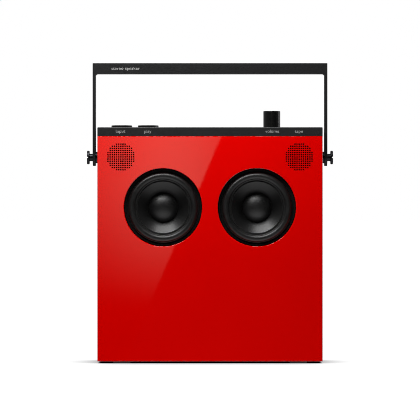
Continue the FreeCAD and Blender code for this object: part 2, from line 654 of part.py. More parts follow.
# ---------------------------------------------------------------- tweeters
def tweeter_frame(x):
    return turned_y((9.6, 3.1), [(TWEETER_FLANGE, 3.1), (TWEETER_FLANGE, 4.6), (TWEETER_CUP, 4.6),
                    (TWEETER_CUP, TWEETER_DEPTH), (10.6, TWEETER_DEPTH), (10.6, 4.6), (9.6, 4.6)], x, PIVOT_Z)


def tweeter_dome(x):
    """Soft dome with its flat edge and its coil, in one piece."""
    rim, apex, skin = 4.6, 1.9, 0.3
    coil_end = rim + 2.2
    outer, inner = TWEETER_DOME, TWEETER_DOME - 0.4
    outer_middle, outer_end = cap_arc(outer, rim, apex)
    inner_middle, inner_end = cap_arc(inner, rim, apex + skin)
    return turned_y((outer, rim), [(outer_middle, outer_end), inner_end, (inner_middle, (inner, rim)),
                    (inner, coil_end), (outer, coil_end), (outer, rim + skin), (10.4, rim + skin),
                    (10.4, rim)], x, PIVOT_Z)


def tweeter_magnet(x):
    return turned_y((0, 5.6), [(6.0, 5.6), (6.0, 8.2), (7.2, 8.2), (7.2, 5.6), (10.5, 5.6),
                    (10.5, TWEETER_DEPTH), (0, TWEETER_DEPTH)], x, PIVOT_Z)


# ---------------------------------------------------------------- handle and pivots
def handle():
    """Bail in one piece: a deep bar and two thin straps with round ends."""
    bar_low = HANDLE_TOP_Z - HANDLE_BAR
    strap_low = PIVOT_Z - HANDLE_HALF_DEPTH
    depth = HANDLE_HALF_DEPTH
    outer = box(-HANDLE_OUTER_X, HANDLE_OUTER_X, -depth, depth, strap_low, HANDLE_TOP_Z)
    gap = box(-HANDLE_INNER_X, HANDLE_INNER_X, -depth - 1, depth + 1, strap_low - 1, bar_low)
    gap = rounded(gap, HANDLE_CORNER, lambda edge: span(edge).ZMin > bar_low - 0.1
                  and span(edge).YLength > depth)
    bail = outer.cut(gap)
    side = box(-HANDLE_OUTER_X - 1, HANDLE_OUTER_X + 1, -depth, depth, PIVOT_Z, HANDLE_TOP_Z)
    side = side.fuse(rod_x(depth, -HANDLE_OUTER_X - 1, HANDLE_OUTER_X + 1, 0, PIVOT_Z))
    bail = bail.common(side).removeSplitter()
    bail = rounded(bail, 0.4, lambda edge: span(edge).ZMin > HANDLE_TOP_Z - 0.1
                   or abs(span(edge).XMin) > HANDLE_OUTER_X - 0.05 and span(edge).XLength < 0.1)
    return bail.cut(rod_x(SHANK_RADIUS + HOLE_PLAY, -HANDLE_OUTER_X - 1, HANDLE_OUTER_X + 1, 0, PIVOT_Z))


def thumb_screw():
    """Spool-shaped clamp screw with a coin slot; its shank is the handle's pivot pin."""
    neck = HANDLE_OUTER_X + FACE_PLAY
    tip = INNER_X - 5.0
    edge = 0.6
    bulge = edge * (1 - math.sqrt(0.5))
    inner_face, outer_face, disc = THUMB_DISC_X, OVERALL_HALF_WIDTH, THUMB_DISC_RADIUS
    spool = turned_x((tip, 0), [(tip, SHANK_RADIUS - 0.5), (tip + 0.5, SHANK_RADIUS), (neck, SHANK_RADIUS),
                     (neck, THUMB_NECK_RADIUS), (inner_face, THUMB_NECK_RADIUS),
                     (inner_face, disc - edge),
                     ((inner_face + bulge, disc - bulge), (inner_face + edge, disc)),
                     (outer_face - edge, disc),
                     ((outer_face - bulge, disc - bulge), (outer_face, disc - edge)),
                     (outer_face, 0)], 0, PIVOT_Z)
    slot = box(OVERALL_HALF_WIDTH - 1.0, OVERALL_HALF_WIDTH + 1, -8, 8, PIVOT_Z - 0.7, PIVOT_Z + 0.7)
    return spool.cut(slot)


def pivot_spacer():
    return rod_x(SPACER_RADIUS, HALF_WIDTH, HANDLE_INNER_X - FACE_PLAY, 0, PIVOT_Z).cut(
        rod_x(SHANK_RADIUS + HOLE_PLAY, HALF_WIDTH - 1, HANDLE_INNER_X + 1, 0, PIVOT_Z))


def pivot_bracket():
    """Steel plate inside the side wall that spreads the handle's load."""
    plate = box(INNER_X - 1.5, INNER_X, -12, 12, PIVOT_Z - 12, PIVOT_Z + 11)
    return plate.cut(rod_x(4.55, INNER_X - 3, INNER_X + 1, 0, PIVOT_Z))


def pivot_insert():
    """Brass bush with a flange behind the bracket; the thumb screw turns in it."""
    insert = rod_x(4.5, INNER_X - 5.5, HALF_WIDTH, 0, PIVOT_Z)
    insert = insert.fuse(rod_x(6.5, INNER_X - 3.0, INNER_X - 1.5, 0, PIVOT_Z))
    return insert.cut(rod_x(SHANK_RADIUS + FACE_PLAY, INNER_X - 7, HALF_WIDTH + 1, 0, PIVOT_Z))


# ---------------------------------------------------------------- battery and electronics
def battery_cells():
    cells = []
    for z in CELL_ROWS_Z:
        for start in (CELL_START_X, -CELL_START_X - CELL_LENGTH):
            can = rod_x(CELL_RADIUS, start, start + CELL_LENGTH - 1.0, CELL_Y, z)
            cells.append(can.fuse(rod_x(3.0, start + CELL_LENGTH - 1.0, start + CELL_LENGTH, CELL_Y, z)))
    return cells


def battery_tray():
    """Cradle under and between the cells."""
    reach = CELL_START_X + CELL_LENGTH
    low, high = TRAY_FLOOR_Z, CELL_ROWS_Z[0] - CELL_RADIUS
    y0, y1 = CELL_Y - CELL_RADIUS - 0.6, CELL_Y + CELL_RADIUS + 0.6
    tray = box(-reach - 2.5, reach + 2.5, y0, y1, low, high)
    walls = [box(-reach - 2.5, -reach - 0.2, y0, y1, low, 46), box(reach + 0.2, reach + 2.5, y0, y1, low, 46),
             box(-CELL_START_X + 0.3, CELL_START_X - 0.3, y0, y1, low, 46)]
    return tray.fuse(walls).removeSplitter()


def main_board():
    board = box(-MAIN_BOARD_X, MAIN_BOARD_X, MAIN_BOARD_BACK - BOARD, MAIN_BOARD_BACK, *MAIN_BOARD_Z)
    return board.cut([rod_y(1.2, MAIN_BOARD_BACK - 3, MAIN_BOARD_BACK + 1, x, z)
                      for x, z in MAIN_BOSS_PLACES])


def heat_sink():
    """Finned block on the amplifier."""
    front = MAIN_BOARD_BACK - BOARD
    sink = box(-48, -12, front - 2.0, front, 50, 74)
    fins = [box(x, x + 1.2, front - 9, front - 1, 50, 74) for x in [-48 + 4.35 * n for n in range(9)]]
    return sink.fuse(fins).removeSplitter()


def board_parts():
    """Capacitors and chokes of the amplifier."""
    front = MAIN_BOARD_BACK - BOARD
    capacitors = [rod_y(4.0, front - 11, front, x, 70) for x in (6, 17, 28, 39)]
    chokes = [box(x, x + 9, front - 5, front, 52, 61) for x in (2, 14, 26, 38)]
    return capacitors + chokes


def routed_lead(points, radius):
    """Round lead along straight runs that arcs join. Each arc is as large as its two runs allow."""
    edges, bends = [], []
    here = vec(*points[0])
    corners = [vec(*point) for point in points]
    for before, corner, after in zip(corners, corners[1:], corners[2:]):
        into, out = (corner - before), (after - corner)
        trim = 0.45 * min(into.Length, out.Length)
        start = corner - into.normalize() * trim
        end = corner + out.normalize() * trim
        half_turn = into.getAngle(out) / 2
        bend = trim / math.tan(half_turn)
        bends.append(round(bend, 1))
        towards = (out - into).normalize()
        middle = corner + towards * (bend / math.cos(half_turn) - bend)
        edges.append(Part.LineSegment(here, start).toShape())
        edges.append(Part.Arc(start, middle, end).toShape())
        here = end
    edges.append(Part.LineSegment(here, corners[-1]).toShape())
    path = Part.Wire(edges)
    section = Part.Wire(Part.Circle(corners[0], corners[1] - corners[0], radius).toShape())
    lead = path.makePipeShell([section], True, False)
    print("lead", round(path.Length, 1), "bends", bends)
    return lead


def speaker_leads():
    """One lead from the amplifier up to each woofer, between the two drivers."""
    left = routed_lead([(-8, 7.7, 80.1), (-8, 7, 92), (-5, 2, 104), (-5, -4, 118), (-5, -9, 131),
                        (-7, -10.5, 142), (-13.6, -11.5, 146)], 1.1)
    return both_sides(left)


# ---------------------------------------------------------------- write every sub-part
def build():
    os.makedirs("parts", exist_ok=True)
    save("front_panel", front_panel())
    save("baffle", baffle())
    save("rear_housing", rear_housing())
    save("bass_port", bass_port())
    save("jack_plate", jack_plate())
    save("usb_socket", usb_socket())
    save("line_in_jack", line_in_jack())
    save("feet", *feet())
    save("rear_screws", *rear_screws())
    save("woofer_screws", *woofer_screws())
    save("deck_screws", *deck_screws())
    save("board_screws", *board_screws())
    save("top_deck", top_deck())
    for name, x in BUTTON_X.items():
        save(f"{name}_button", button(x))
        save(f"{name}_dome", return_dome(x))
    save("control_board", control_board())
    save("volume_knob", volume_knob())
    save("volume_shaft", volume_shaft())
    save("volume_pot", volume_pot())
    save("tape_dial", tape_dial())
    save("tape_spindle", tape_spindle())
    save("tape_motor", tape_motor())
    for side, sign in (("left", -1), ("right", 1)):
        for name, make in (("basket", woofer_basket), ("surround", woofer_surround), ("cone", woofer_cone),
                           ("dust_cap", woofer_dust_cap), ("voice_coil", woofer_voice_coil),
                           ("spider", woofer_spider), ("top_plate", woofer_top_plate),
                           ("magnet", woofer_magnet), ("yoke", woofer_yoke)):
            save(f"{side}_woofer_{name}", make(sign * WOOFER_X))
        for name, make in (("frame", tweeter_frame), ("dome", tweeter_dome), ("magnet", tweeter_magnet)):
            save(f"{side}_tweeter_{name}", make(sign * OUTER_CONTROL_X))
    save("handle", handle())
    save("right_thumb_screw", thumb_screw())
    save("left_thumb_screw", mirrored(thumb_screw()))
    save("pivot_spacers", *both_sides(pivot_spacer()))
    save("pivot_brackets", *both_sides(pivot_bracket()))
    save("pivot_inserts", *both_sides(pivot_insert()))
    save("battery_cells", *battery_cells())
    save("battery_tray", battery_tray())
    save("main_board", main_board())
    save("heat_sink", heat_sink())
    save("board_parts", *board_parts())
    save("speaker_leads", *speaker_leads())


build()
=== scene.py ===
# %% [markdown]
# # A flat, upright stereo speaker, finished in Blender
# The solid model of this speaker already exists: sixty machined and moulded parts, each in its
# own place. This lesson gives them their looks. It loads them as a fixed frame, sets up a studio,
# mixes one material for each real finish, and then builds the parts that flex or repeat:
# the loudspeaker cones, their rubber rings, the silicone domes, the screws and the printed words.

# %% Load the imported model
import json
import math

import bmesh
import bpy
from mathutils import Matrix, Vector


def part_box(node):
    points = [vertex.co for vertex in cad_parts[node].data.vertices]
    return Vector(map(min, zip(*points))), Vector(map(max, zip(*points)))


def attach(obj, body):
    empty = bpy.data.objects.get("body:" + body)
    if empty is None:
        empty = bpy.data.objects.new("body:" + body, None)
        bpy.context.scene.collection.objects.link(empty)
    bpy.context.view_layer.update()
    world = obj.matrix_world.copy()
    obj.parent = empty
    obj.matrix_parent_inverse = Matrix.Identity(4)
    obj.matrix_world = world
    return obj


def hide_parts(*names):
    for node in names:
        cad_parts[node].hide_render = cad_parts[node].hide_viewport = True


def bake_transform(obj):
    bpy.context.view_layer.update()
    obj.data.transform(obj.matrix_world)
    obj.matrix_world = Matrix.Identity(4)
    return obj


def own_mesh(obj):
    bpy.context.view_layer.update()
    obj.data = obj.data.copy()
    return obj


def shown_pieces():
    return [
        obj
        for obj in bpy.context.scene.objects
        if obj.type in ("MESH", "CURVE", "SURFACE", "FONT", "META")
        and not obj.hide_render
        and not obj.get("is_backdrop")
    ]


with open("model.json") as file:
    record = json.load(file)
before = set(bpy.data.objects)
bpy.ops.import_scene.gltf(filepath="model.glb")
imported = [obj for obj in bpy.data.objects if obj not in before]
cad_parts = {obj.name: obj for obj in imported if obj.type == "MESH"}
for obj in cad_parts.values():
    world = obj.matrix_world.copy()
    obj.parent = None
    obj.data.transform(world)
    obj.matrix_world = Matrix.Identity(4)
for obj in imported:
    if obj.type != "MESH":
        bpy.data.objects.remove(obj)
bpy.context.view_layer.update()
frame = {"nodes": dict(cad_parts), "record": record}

MM = 0.001
nodes = frame["nodes"]
record = frame["record"]

# %% [markdown]
# ## Where things are
# The main places in this file come from the parts themselves. The front face, the deck and the two woofer
# axes are read from the boxes of the parts that own them, so that nothing has to be fitted by eye.

# %% Read the main places from the parts
FRONT_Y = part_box("front_panel")[0].y
PANEL_TOP_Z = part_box("front_panel")[1].z
DECK_TOP_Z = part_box("top_deck")[1].z
HANDLE_TOP_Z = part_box("handle")[1].z


def middle(node):
    """Centre of a part's box."""
    low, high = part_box(node)
    return (low + high) / 2


WOOFERS = {side: middle(f"{side}_woofer_cone") for side in ("left", "right")}
print("front", FRONT_Y, "deck top", round(DECK_TOP_Z, 4), "woofers", WOOFERS)

# %% [markdown]
# ## One small helper for every node tree
# Materials, the sky and the modelling trees are all node trees. Adding a node always takes the
# same three steps: make it, set its options, and fill or link its inputs. One function does that,
# so each tree below reads like a list of what it is made of.

# %% A function that adds a node
def add(tree, kind, inputs=None, **settings):
    """Adds a node. An input is either a value or another node's output."""
    node = tree.nodes.new(kind)
    for name, value in settings.items():
        setattr(node, name, value)
    for name, value in (inputs or {}).items():
        if isinstance(value, bpy.types.NodeSocket):
            tree.links.new(value, node.inputs[name])
        else:
            node.inputs[name].default_value = value
    return node


def linear(code):
    """Turns an sRGB hex colour into the linear RGBA that the shaders work in."""
    channels = [int(code[start:start + 2], 16) / 255 for start in (0, 2, 4)]
    steps = [c / 12.92 if c <= 0.04045 else ((c + 0.055) / 1.055) ** 2.4 for c in channels]
    return (*steps, 1.0)


print("mid grey is", [round(c, 3) for c in linear("808080")])

# %% [markdown]
# ## The camera
# A catalogue picture of a flat object is taken from far away with a long lens, square to the
# front, so that upright edges stay upright and the sides don't show. The height is a little above
# the middle of the body. No shift and no depth of field are needed.
#
# The perforations stand only two millimetres apart. A slightly narrow filter keeps them crisp, and
# the denoiser is given its quick kind of guide, because the slow kind smooths them away.

# %% Camera
LENS = 238.0
SENSOR = 36.0
CAMERA_DISTANCE = 2.6
CAMERA_HEIGHT = 0.1436

scene = bpy.context.scene
lens = bpy.data.cameras.new("studio_camera")
lens.lens = LENS
lens.sensor_width = SENSOR
lens.clip_end = 50.0
camera = bpy.data.objects.new("studio_camera", lens)
camera.location = (0.0, FRONT_Y - CAMERA_DISTANCE, CAMERA_HEIGHT)
camera.rotation_euler = (math.radians(90), 0.0, 0.0)
scene.collection.objects.link(camera)
scene.camera = camera
scene.view_settings.view_transform = "Standard"
scene.cycles.filter_width = 0.9
scene.cycles.denoising_prefilter = "FAST"
print("width of view at the front face, mm:", round(SENSOR / LENS * CAMERA_DISTANCE / MM, 1))

# %% [markdown]
# ## The room
# The set is a white cove: the lens sees pure white behind the object. What the object itself sees
# is different. In front of it, round the lens, the studio is dark, which keeps the gloss panel
# deep in colour. Behind and beside it there are pale walls, and the floor in front glows softly. A
# sky shader can do both, because it can tell a ray from the lens from one that left the object.

# %% Sky
world = bpy.data.worlds.new("studio_room")
world.use_nodes = True
sky = world.node_tree
sky.nodes.clear()
direction = add(sky, "ShaderNodeTexCoord").outputs["Generated"]
parts = add(sky, "ShaderNodeSeparateXYZ", {"Vector": direction})
from_front = add(sky, "ShaderNodeMapRange",
                 {"Value": parts.outputs["Y"], "From Min": -0.75, "From Max": 0.35,
                  "To Min": 0.012, "To Max": 0.5}, interpolation_type="SMOOTHERSTEP")
from_below = add(sky, "ShaderNodeMapRange", {"Value": parts.outputs["Z"], "From Min": -0.5, "From Max": 0.4,
                                              "To Min": 0.25, "To Max": 1.0}, interpolation_type="SMOOTHSTEP")
walls = add(sky, "ShaderNodeMath", {0: from_front.outputs["Result"], 1: from_below.outputs["Result"]},
            operation="MULTIPLY")
downwards = add(sky, "ShaderNodeVectorMath", {0: direction, 1: Vector((0.0, -0.5, -1.0)).normalized()},
                operation="DOT_PRODUCT")
floor_glow = add(sky, "ShaderNodeMapRange",
                 {"Value": downwards.outputs["Value"], "From Min": 0.5, "From Max": 1.0,
                  "To Min": 0.0, "To Max": 1.3}, interpolation_type="SMOOTHSTEP")
ray = add(sky, "ShaderNodeLightPath").outputs
mirrored_glow = add(sky, "ShaderNodeMath", {0: floor_glow.outputs["Result"], 1: ray["Is Glossy Ray"]},
                    operation="MULTIPLY")
light = add(sky, "ShaderNodeMath", {0: walls.outputs["Value"], 1: mirrored_glow.outputs["Value"]},
            operation="ADD")
room = add(sky, "ShaderNodeBackground", {"Color": linear("FFFFFF"), "Strength": light.outputs["Value"]})
white = add(sky, "ShaderNodeBackground", {"Color": linear("FFFFFF"), "Strength": 1.0})
either = add(sky, "ShaderNodeMixShader",
             {"Fac": ray["Is Camera Ray"], 1: room.outputs["Background"], 2: white.outputs["Background"]})
add(sky, "ShaderNodeOutputWorld", {"Surface": either.outputs["Shader"]})
scene.world = world
print("sky nodes:", len(sky.nodes))

# %% [markdown]
# ## The floor
# The floor is the same white as the walls, so only the soft contact shadow round the base shows that there is
# one. That shadow is painted shade: the floor glows by itself, ambient occlusion measures how enclosed each
# point of the floor is, and the glow follows it: dark under the case, pale beside it, and pure white a
# finger's width away.

# %% Floor
FLOOR_REACH = 30.0
PAINTED_SHADOW_REACH = 55 * MM

floor_mesh = bpy.data.meshes.new("floor")
floor_mesh.from_pydata([(-FLOOR_REACH, -FLOOR_REACH, 0), (FLOOR_REACH, -FLOOR_REACH, 0),
                        (FLOOR_REACH, FLOOR_REACH, 0), (-FLOOR_REACH, FLOOR_REACH, 0)], [], [(0, 1, 2, 3)])
floor = bpy.data.objects.new("floor", floor_mesh)
scene.collection.objects.link(floor)
paint = bpy.data.materials.new("white_cove_painted_contact_shadow")
paint.use_nodes = True
paint.node_tree.nodes.clear()
# painted shade: the floor's own glow is dimmed where ambient occlusion finds the case close by
enclosed = add(paint.node_tree, "ShaderNodeAmbientOcclusion", {"Distance": PAINTED_SHADOW_REACH}, samples=16)
shade = add(paint.node_tree, "ShaderNodeMapRange",
            {"Value": enclosed.outputs["AO"], "From Min": 0.14, "From Max": 0.86,
             "To Min": 0.0, "To Max": 1.05})
glow = add(paint.node_tree, "ShaderNodeEmission",
           {"Color": linear("FFFFFF"), "Strength": shade.outputs["Result"]})
add(paint.node_tree, "ShaderNodeOutputMaterial", {"Surface": glow.outputs["Emission"]})
floor_mesh.materials.append(paint)
floor.visible_glossy = False
floor.visible_diffuse = False
floor.visible_shadow = False
floor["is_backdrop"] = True

# %% [markdown]
# ## The lights
# Two softboxes hang close over the front, so the panel is brightest along its top and fades
# downwards. A smaller one further left draws the highlights on caps and rubber rings. A low card
# fills in from below, through the floor, which casts no shadow. A strip at the right lights the
# edges of the black controls. Three of them light in one way only: the wide fill and the low card
# give no highlights, and the strip gives nothing else. No real lamp can do that; it is a freedom
# of rendered light.

# %% Softboxes
def softbox(name, place, target, width, height, power, glossy=True, diffuse=True):
    """A rectangular light that looks at a target."""
    light = bpy.data.lights.new(name, "AREA")
    light.shape = "RECTANGLE"
    light.size = width
    light.size_y = height
    light.energy = power
    lamp = bpy.data.objects.new(name, light)
    lamp.location = place
    lamp.rotation_euler = (Vector(target) - Vector(place)).to_track_quat("-Z", "Y").to_euler()
    lamp.visible_camera = False
    lamp.visible_glossy = glossy
    lamp.visible_diffuse = diffuse
    scene.collection.objects.link(lamp)
    return lamp


softbox("overhead_softbox", (-0.10, -0.195, 0.57), (-0.10, -0.05, 0.15), 0.41, 0.21, 2.75)
softbox("fill_softbox", (-0.04, -0.26, 0.52), (-0.04, -0.03, 0.10), 0.55, 0.22, 0.76, glossy=False)
softbox("key_softbox", (-0.29, -0.30, 0.70), (0, 0, 0.15), 0.28, 0.28, 1.0)
softbox("low_front_card", (-0.05, -0.30, -0.22), (0, 0, 0.08), 0.6, 0.2, 0.76, glossy=False)
softbox("right_strip", (0.55, 0.135, 0.25), (0, 0, 0.2), 0.33, 0.7, 2.0, diffuse=False)

# %% [markdown]
# The mirrored sheet is a plane that gives off light only to mirror-like rays. Its corners follow
# from the law of reflection: a point of the panel at height z mirrors a point of the sheet whose
# height is further from the lens's height in proportion to the distance.

# %% Mirrored sheet
SHEET_DISTANCE = 5.0
SHEET_PEAK, HOT_SPOT_X, HOT_SPOT_REACH = 1.35, -38, 94
SHEET_SPREAD = (CAMERA_DISTANCE + SHEET_DISTANCE) / CAMERA_DISTANCE


def mirrored_place(x, z):
    """Point of the sheet that the lens sees mirrored at a point of the front face, in millimetres."""
    return (x * MM * SHEET_SPREAD, FRONT_Y - SHEET_DISTANCE,
            CAMERA_HEIGHT + (z * MM - CAMERA_HEIGHT) * SHEET_SPREAD)


corners = [mirrored_place(x, z) for x, z in ((-330, 300), (47.6, 300), (-80, 0), (-330, 0))]
sheet_mesh = bpy.data.meshes.new("mirrored_sheet")
sheet_mesh.from_pydata(corners, [], [(0, 1, 2, 3)])
sheet = bpy.data.objects.new("mirrored_sheet", sheet_mesh)
scene.collection.objects.link(sheet)
silk = bpy.data.materials.new("diffusion_silk")
silk.use_nodes = True
silk.node_tree.nodes.clear()
spot = add(silk.node_tree, "ShaderNodeTexCoord").outputs["Object"]
axes = add(silk.node_tree, "ShaderNodeSeparateXYZ", {"Vector": spot})
rise = add(silk.node_tree, "ShaderNodeMapRange",
           {"Value": axes.outputs["Z"], "From Min": mirrored_place(0, 45)[2],
            "From Max": mirrored_place(0, 178)[2], "To Min": 0.0, "To Max": SHEET_PEAK},
           interpolation_type="SMOOTHSTEP")
aside = add(silk.node_tree, "ShaderNodeMapRange",
            {"Value": axes.outputs["X"], "From Min": mirrored_place(HOT_SPOT_X, 0)[0],
             "From Max": mirrored_place(HOT_SPOT_X + HOT_SPOT_REACH, 0)[0], "To Min": 0.0, "To Max": 1.0},
            clamp=False)
square = add(silk.node_tree, "ShaderNodeMath", {0: aside.outputs["Result"], 1: 2.0}, operation="POWER")
further = add(silk.node_tree, "ShaderNodeMath", {0: square.outputs["Value"], 1: 1.0}, operation="ADD")
falloff = add(silk.node_tree, "ShaderNodeMath", {0: further.outputs["Value"], 1: -2.0}, operation="POWER")
level = add(silk.node_tree, "ShaderNodeMath", {0: rise.outputs["Result"], 1: falloff.outputs["Value"]},
            operation="MULTIPLY")
glow = add(silk.node_tree, "ShaderNodeEmission",
           {"Color": linear("FFFFE6"), "Strength": level.outputs["Value"]})
add(silk.node_tree, "ShaderNodeOutputMaterial", {"Surface": glow.outputs["Emission"]})
sheet_mesh.materials.append(silk)
sheet.visible_camera = False
sheet.visible_diffuse = False
sheet.visible_shadow = False
sheet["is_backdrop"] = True

# %% [markdown]
# ## A start for every material
# Each material below begins the same way: a Principled shader, an output, and the object's own
# coordinates in metres. The coordinates are those of the part's mesh, which sits where the real
# part sits, so a pattern can be scaled in millimetres and centred on an axle.

# %% Helpers for the materials
def new_material(name, **constants):
    """A material with its shader's constants set. Returns it with its tree, shader and place socket."""
    material = bpy.data.materials.new(name)
    material.use_nodes = True
    tree = material.node_tree
    tree.nodes.clear()
    shader = add(tree, "ShaderNodeBsdfPrincipled")
    for socket, value in constants.items():
        shader.inputs[socket.replace("_", " ")].default_value = value
    add(tree, "ShaderNodeOutputMaterial", {"Surface": shader.outputs["BSDF"]})
    place = add(tree, "ShaderNodeTexCoord").outputs["Object"]
    return material, tree, shader, place


def grain(tree, place, size, detail=3.0, roughness=0.6):
    """Noise whose features are about this many millimetres across."""
    return add(tree, "ShaderNodeTexNoise", {"Vector": place, "Scale": 1.0 / (size * MM), "Detail": detail,
                                            "Roughness": roughness}).outputs["Fac"]


def between(tree, factor, low, high, start=0.3, end=0.7):
    """Maps a pattern onto a range of numbers."""
    return add(tree, "ShaderNodeMapRange", {"Value": factor, "From Min": start, "From Max": end,
                                            "To Min": low, "To Max": high}).outputs["Result"]


def tint(tree, shader, factor, dark, light, start=0.3, end=0.7):
    """Colours the shader between two hex colours, as a pattern says."""
    ramp = add(tree, "ShaderNodeValToRGB", {"Fac": factor})
    ramp.color_ramp.elements[0].position = start
    ramp.color_ramp.elements[1].position = end
    ramp.color_ramp.elements[0].color = linear(dark)
    ramp.color_ramp.elements[1].color = linear(light)
    tree.links.new(ramp.outputs["Color"], shader.inputs["Base Color"])


def relief(tree, shader, height, depth, strength=1.0):
    """Bump of this many millimetres between the lows and highs of a pattern."""
    bump = add(tree, "ShaderNodeBump", {"Height": height, "Distance": depth * MM, "Strength": strength})
    tree.links.new(bump.outputs["Normal"], shader.inputs["Normal"])
    return bump


# %% [markdown]
# ## Gloss lacquer on the front panel
# The front is an ABS moulding, sprayed with red colour coat and then clear lacquer, and polished.
# The colour coat alone is soft and even; the clear coat gives the sharp mirror image on top.
# The Principled shader's coat is exactly this second layer. Sprayed lacquer is never quite flat:
# its "orange peel" is some 2.5 mm across and a fraction of a micrometre high, which only just
# loosens the edge of a reflection. Along the top edge, under the deck, the clear coat thins out.

# %% Gloss red lacquer
THIN_EDGE = 0.6 * MM


def gloss_lacquer():
    material, tree, shader, place = new_material(
        "gloss_red_lacquer_on_abs", Roughness=0.5, IOR=1.5, Specular_IOR_Level=0.0,
        Coat_Weight=1.0, Coat_Roughness=0.015, Coat_IOR=1.5)
    tint(tree, shader, grain(tree, place, 70.0, detail=1.0), "E00100", "E30200")
    peel = grain(tree, place, 2.5, detail=1.0)
    bump = relief(tree, shader, peel, 0.0006)
    tree.links.new(bump.outputs["Normal"], shader.inputs["Coat Normal"])
    height = add(tree, "ShaderNodeSeparateXYZ", {"Vector": place}).outputs["Z"]
    film = add(tree, "ShaderNodeMapRange",
               {"Value": height, "From Min": PANEL_TOP_Z - THIN_EDGE,
                "From Max": PANEL_TOP_Z - THIN_EDGE / 3, "To Min": 1.0, "To Max": 0.1})
    tree.links.new(film.outputs["Result"], shader.inputs["Coat Weight"])
    return material


# %% [markdown]
# ## Moulded black plastics
# Case, deck, controls and fittings are all black ABS from textured steel moulds. They differ only
# in how coarse the spark-eroded texture is and how much it breaks up the shine. Real grain is
# about 0.1 mm; it is drawn at two to four times that, because finer grain wouldn't show.

# %% Moulded ABS in several textures
def moulded_abs(name, dark, light, size, depth, roughness, shine=0.5):
    material, tree, shader, place = new_material(name, IOR=1.52, Specular_IOR_Level=shine)
    fine = grain(tree, place, size)
    tint(tree, shader, grain(tree, place, 9.0, detail=2.0), dark, light)
    rough = between(tree, grain(tree, place, 5 * size, detail=2.0), roughness - 0.04, roughness + 0.04)
    tree.links.new(rough, shader.inputs["Roughness"])
    relief(tree, shader, fine, depth)
    return material


# %% [markdown]
# ## Powder-coated handle
# The handle is bent aluminium with a baked black powder coat. The powder melts into a skin with
# soft bumps a little under a millimetre apart, so the coat looks satin from afar and pebbly close
# up. The metal never shows, so the shader is a plain dielectric.

# %% Powder coat
def powder_coat():
    material, tree, shader, place = new_material(
        "black_powder_coat_on_aluminium", IOR=1.5, Specular_IOR_Level=0.3)
    pebbles = add(tree, "ShaderNodeTexVoronoi",
                  {"Vector": place, "Scale": 1.0 / (0.7 * MM), "Smoothness": 1.0},
                  feature="SMOOTH_F1").outputs["Distance"]
    tint(tree, shader, grain(tree, place, 12.0), "0E0E0F", "121213")
    tree.links.new(between(tree, pebbles, 0.46, 0.54, 0.0, 0.6), shader.inputs["Roughness"])
    relief(tree, shader, pebbles, 0.006)
    return material


# %% [markdown]
# ## Turned and anodised pivots
# The thumb screws are turned from aluminium bar and dyed black in the anodising bath. The lathe
# leaves fine rings round the axle, here 0.35 mm apart. Anodising keeps the metal's gleam under a
# dark film, so the shader stays metallic with a very dark colour.

# %% Rings round the handle's axle
AXLE_Z = middle("pivot_spacers").z


def turned_black_aluminium():
    material, tree, shader, place = new_material("turned_black_anodised_aluminium", Metallic=1.0)
    centred = add(tree, "ShaderNodeMapping",
                  {"Vector": place, "Location": (0.0, 0.0, -AXLE_Z)}).outputs["Vector"]
    rings = add(tree, "ShaderNodeTexWave", {"Vector": centred, "Scale": 1.0 / (2.2 * MM), "Distortion": 0.4},
                wave_type="RINGS", rings_direction="X").outputs["Fac"]
    tint(tree, shader, grain(tree, place, 4.0), "262628", "2E2E31")
    tree.links.new(between(tree, rings, 0.34, 0.42, 0.0, 1.0), shader.inputs["Roughness"])
    relief(tree, shader, rings, 0.003)
    return material


# %% [markdown]
# ## Rubbers
# The rings round the cones are moulded butyl rubber, the feet are harder nitrile, and the domes
# under the buttons are translucent silicone. Rubber is smooth at first glance, but has a very fine
# texture from the mould and a little bloom, which makes the roughness uneven.

# %% Rubber and silicone
def rubber(name, dark, light, roughness, shine=0.5):
    material, tree, shader, place = new_material(name, IOR=1.52, Specular_IOR_Level=shine)
    bloom = grain(tree, place, 6.0)
    tint(tree, shader, bloom, dark, light)
    tree.links.new(between(tree, bloom, roughness - 0.05, roughness + 0.05), shader.inputs["Roughness"])
    relief(tree, shader, grain(tree, place, 0.4), 0.002)
    return material


def silicone():
    material, tree, shader, place = new_material(
        "translucent_silicone", IOR=1.41, Subsurface_Weight=0.4, Subsurface_Scale=1.5 * MM, Roughness=0.45)
    tint(tree, shader, grain(tree, place, 3.0), "B9BCBD", "C9CCCC")
    relief(tree, shader, grain(tree, place, 0.5), 0.003)
    return material


# %% [markdown]
# ## Coated paper cones
# A woofer cone is pressed from wet wood and cotton fibre, dyed black and sealed with a thin coat.
# The fibres are hair-fine and lie in every direction, about 1.5 mm long. Noise stretched along
# one direction looks like them; two such layers at right angles look like felted fibre.

# %% Pressed fibre
def pressed_fibre(name, dark, light, roughness, coat):
    material, tree, shader, place = new_material(
        name, IOR=1.5, Specular_IOR_Level=0.4, Coat_Weight=coat, Coat_Roughness=0.3)
    layers = []
    for turn in (25, 115):
        lain = add(tree, "ShaderNodeMapping", {"Vector": place, "Rotation": (0, math.radians(turn), 0),
                                               "Scale": (1.0, 1.0, 0.18)}).outputs["Vector"]
        layers.append(grain(tree, lain, 0.3, detail=2.0))
    felt = add(tree, "ShaderNodeMath", {0: layers[0], 1: layers[1]}, operation="MAXIMUM").outputs["Value"]
    tint(tree, shader, felt, dark, light, 0.35, 0.8)
    tree.links.new(between(tree, felt, roughness - 0.05, roughness + 0.05), shader.inputs["Roughness"])
    relief(tree, shader, felt, 0.004)
    return material


# %% [markdown]
# ## Woven cloth
# The spider behind each cone is cotton stiffened with resin, and the tweeter domes are coated
# silk. Both are plain weave. Two trains of waves at right angles, one for each set of threads,
# are multiplied; the thread spacing is 0.5 mm for the cotton and 0.25 mm for the silk.

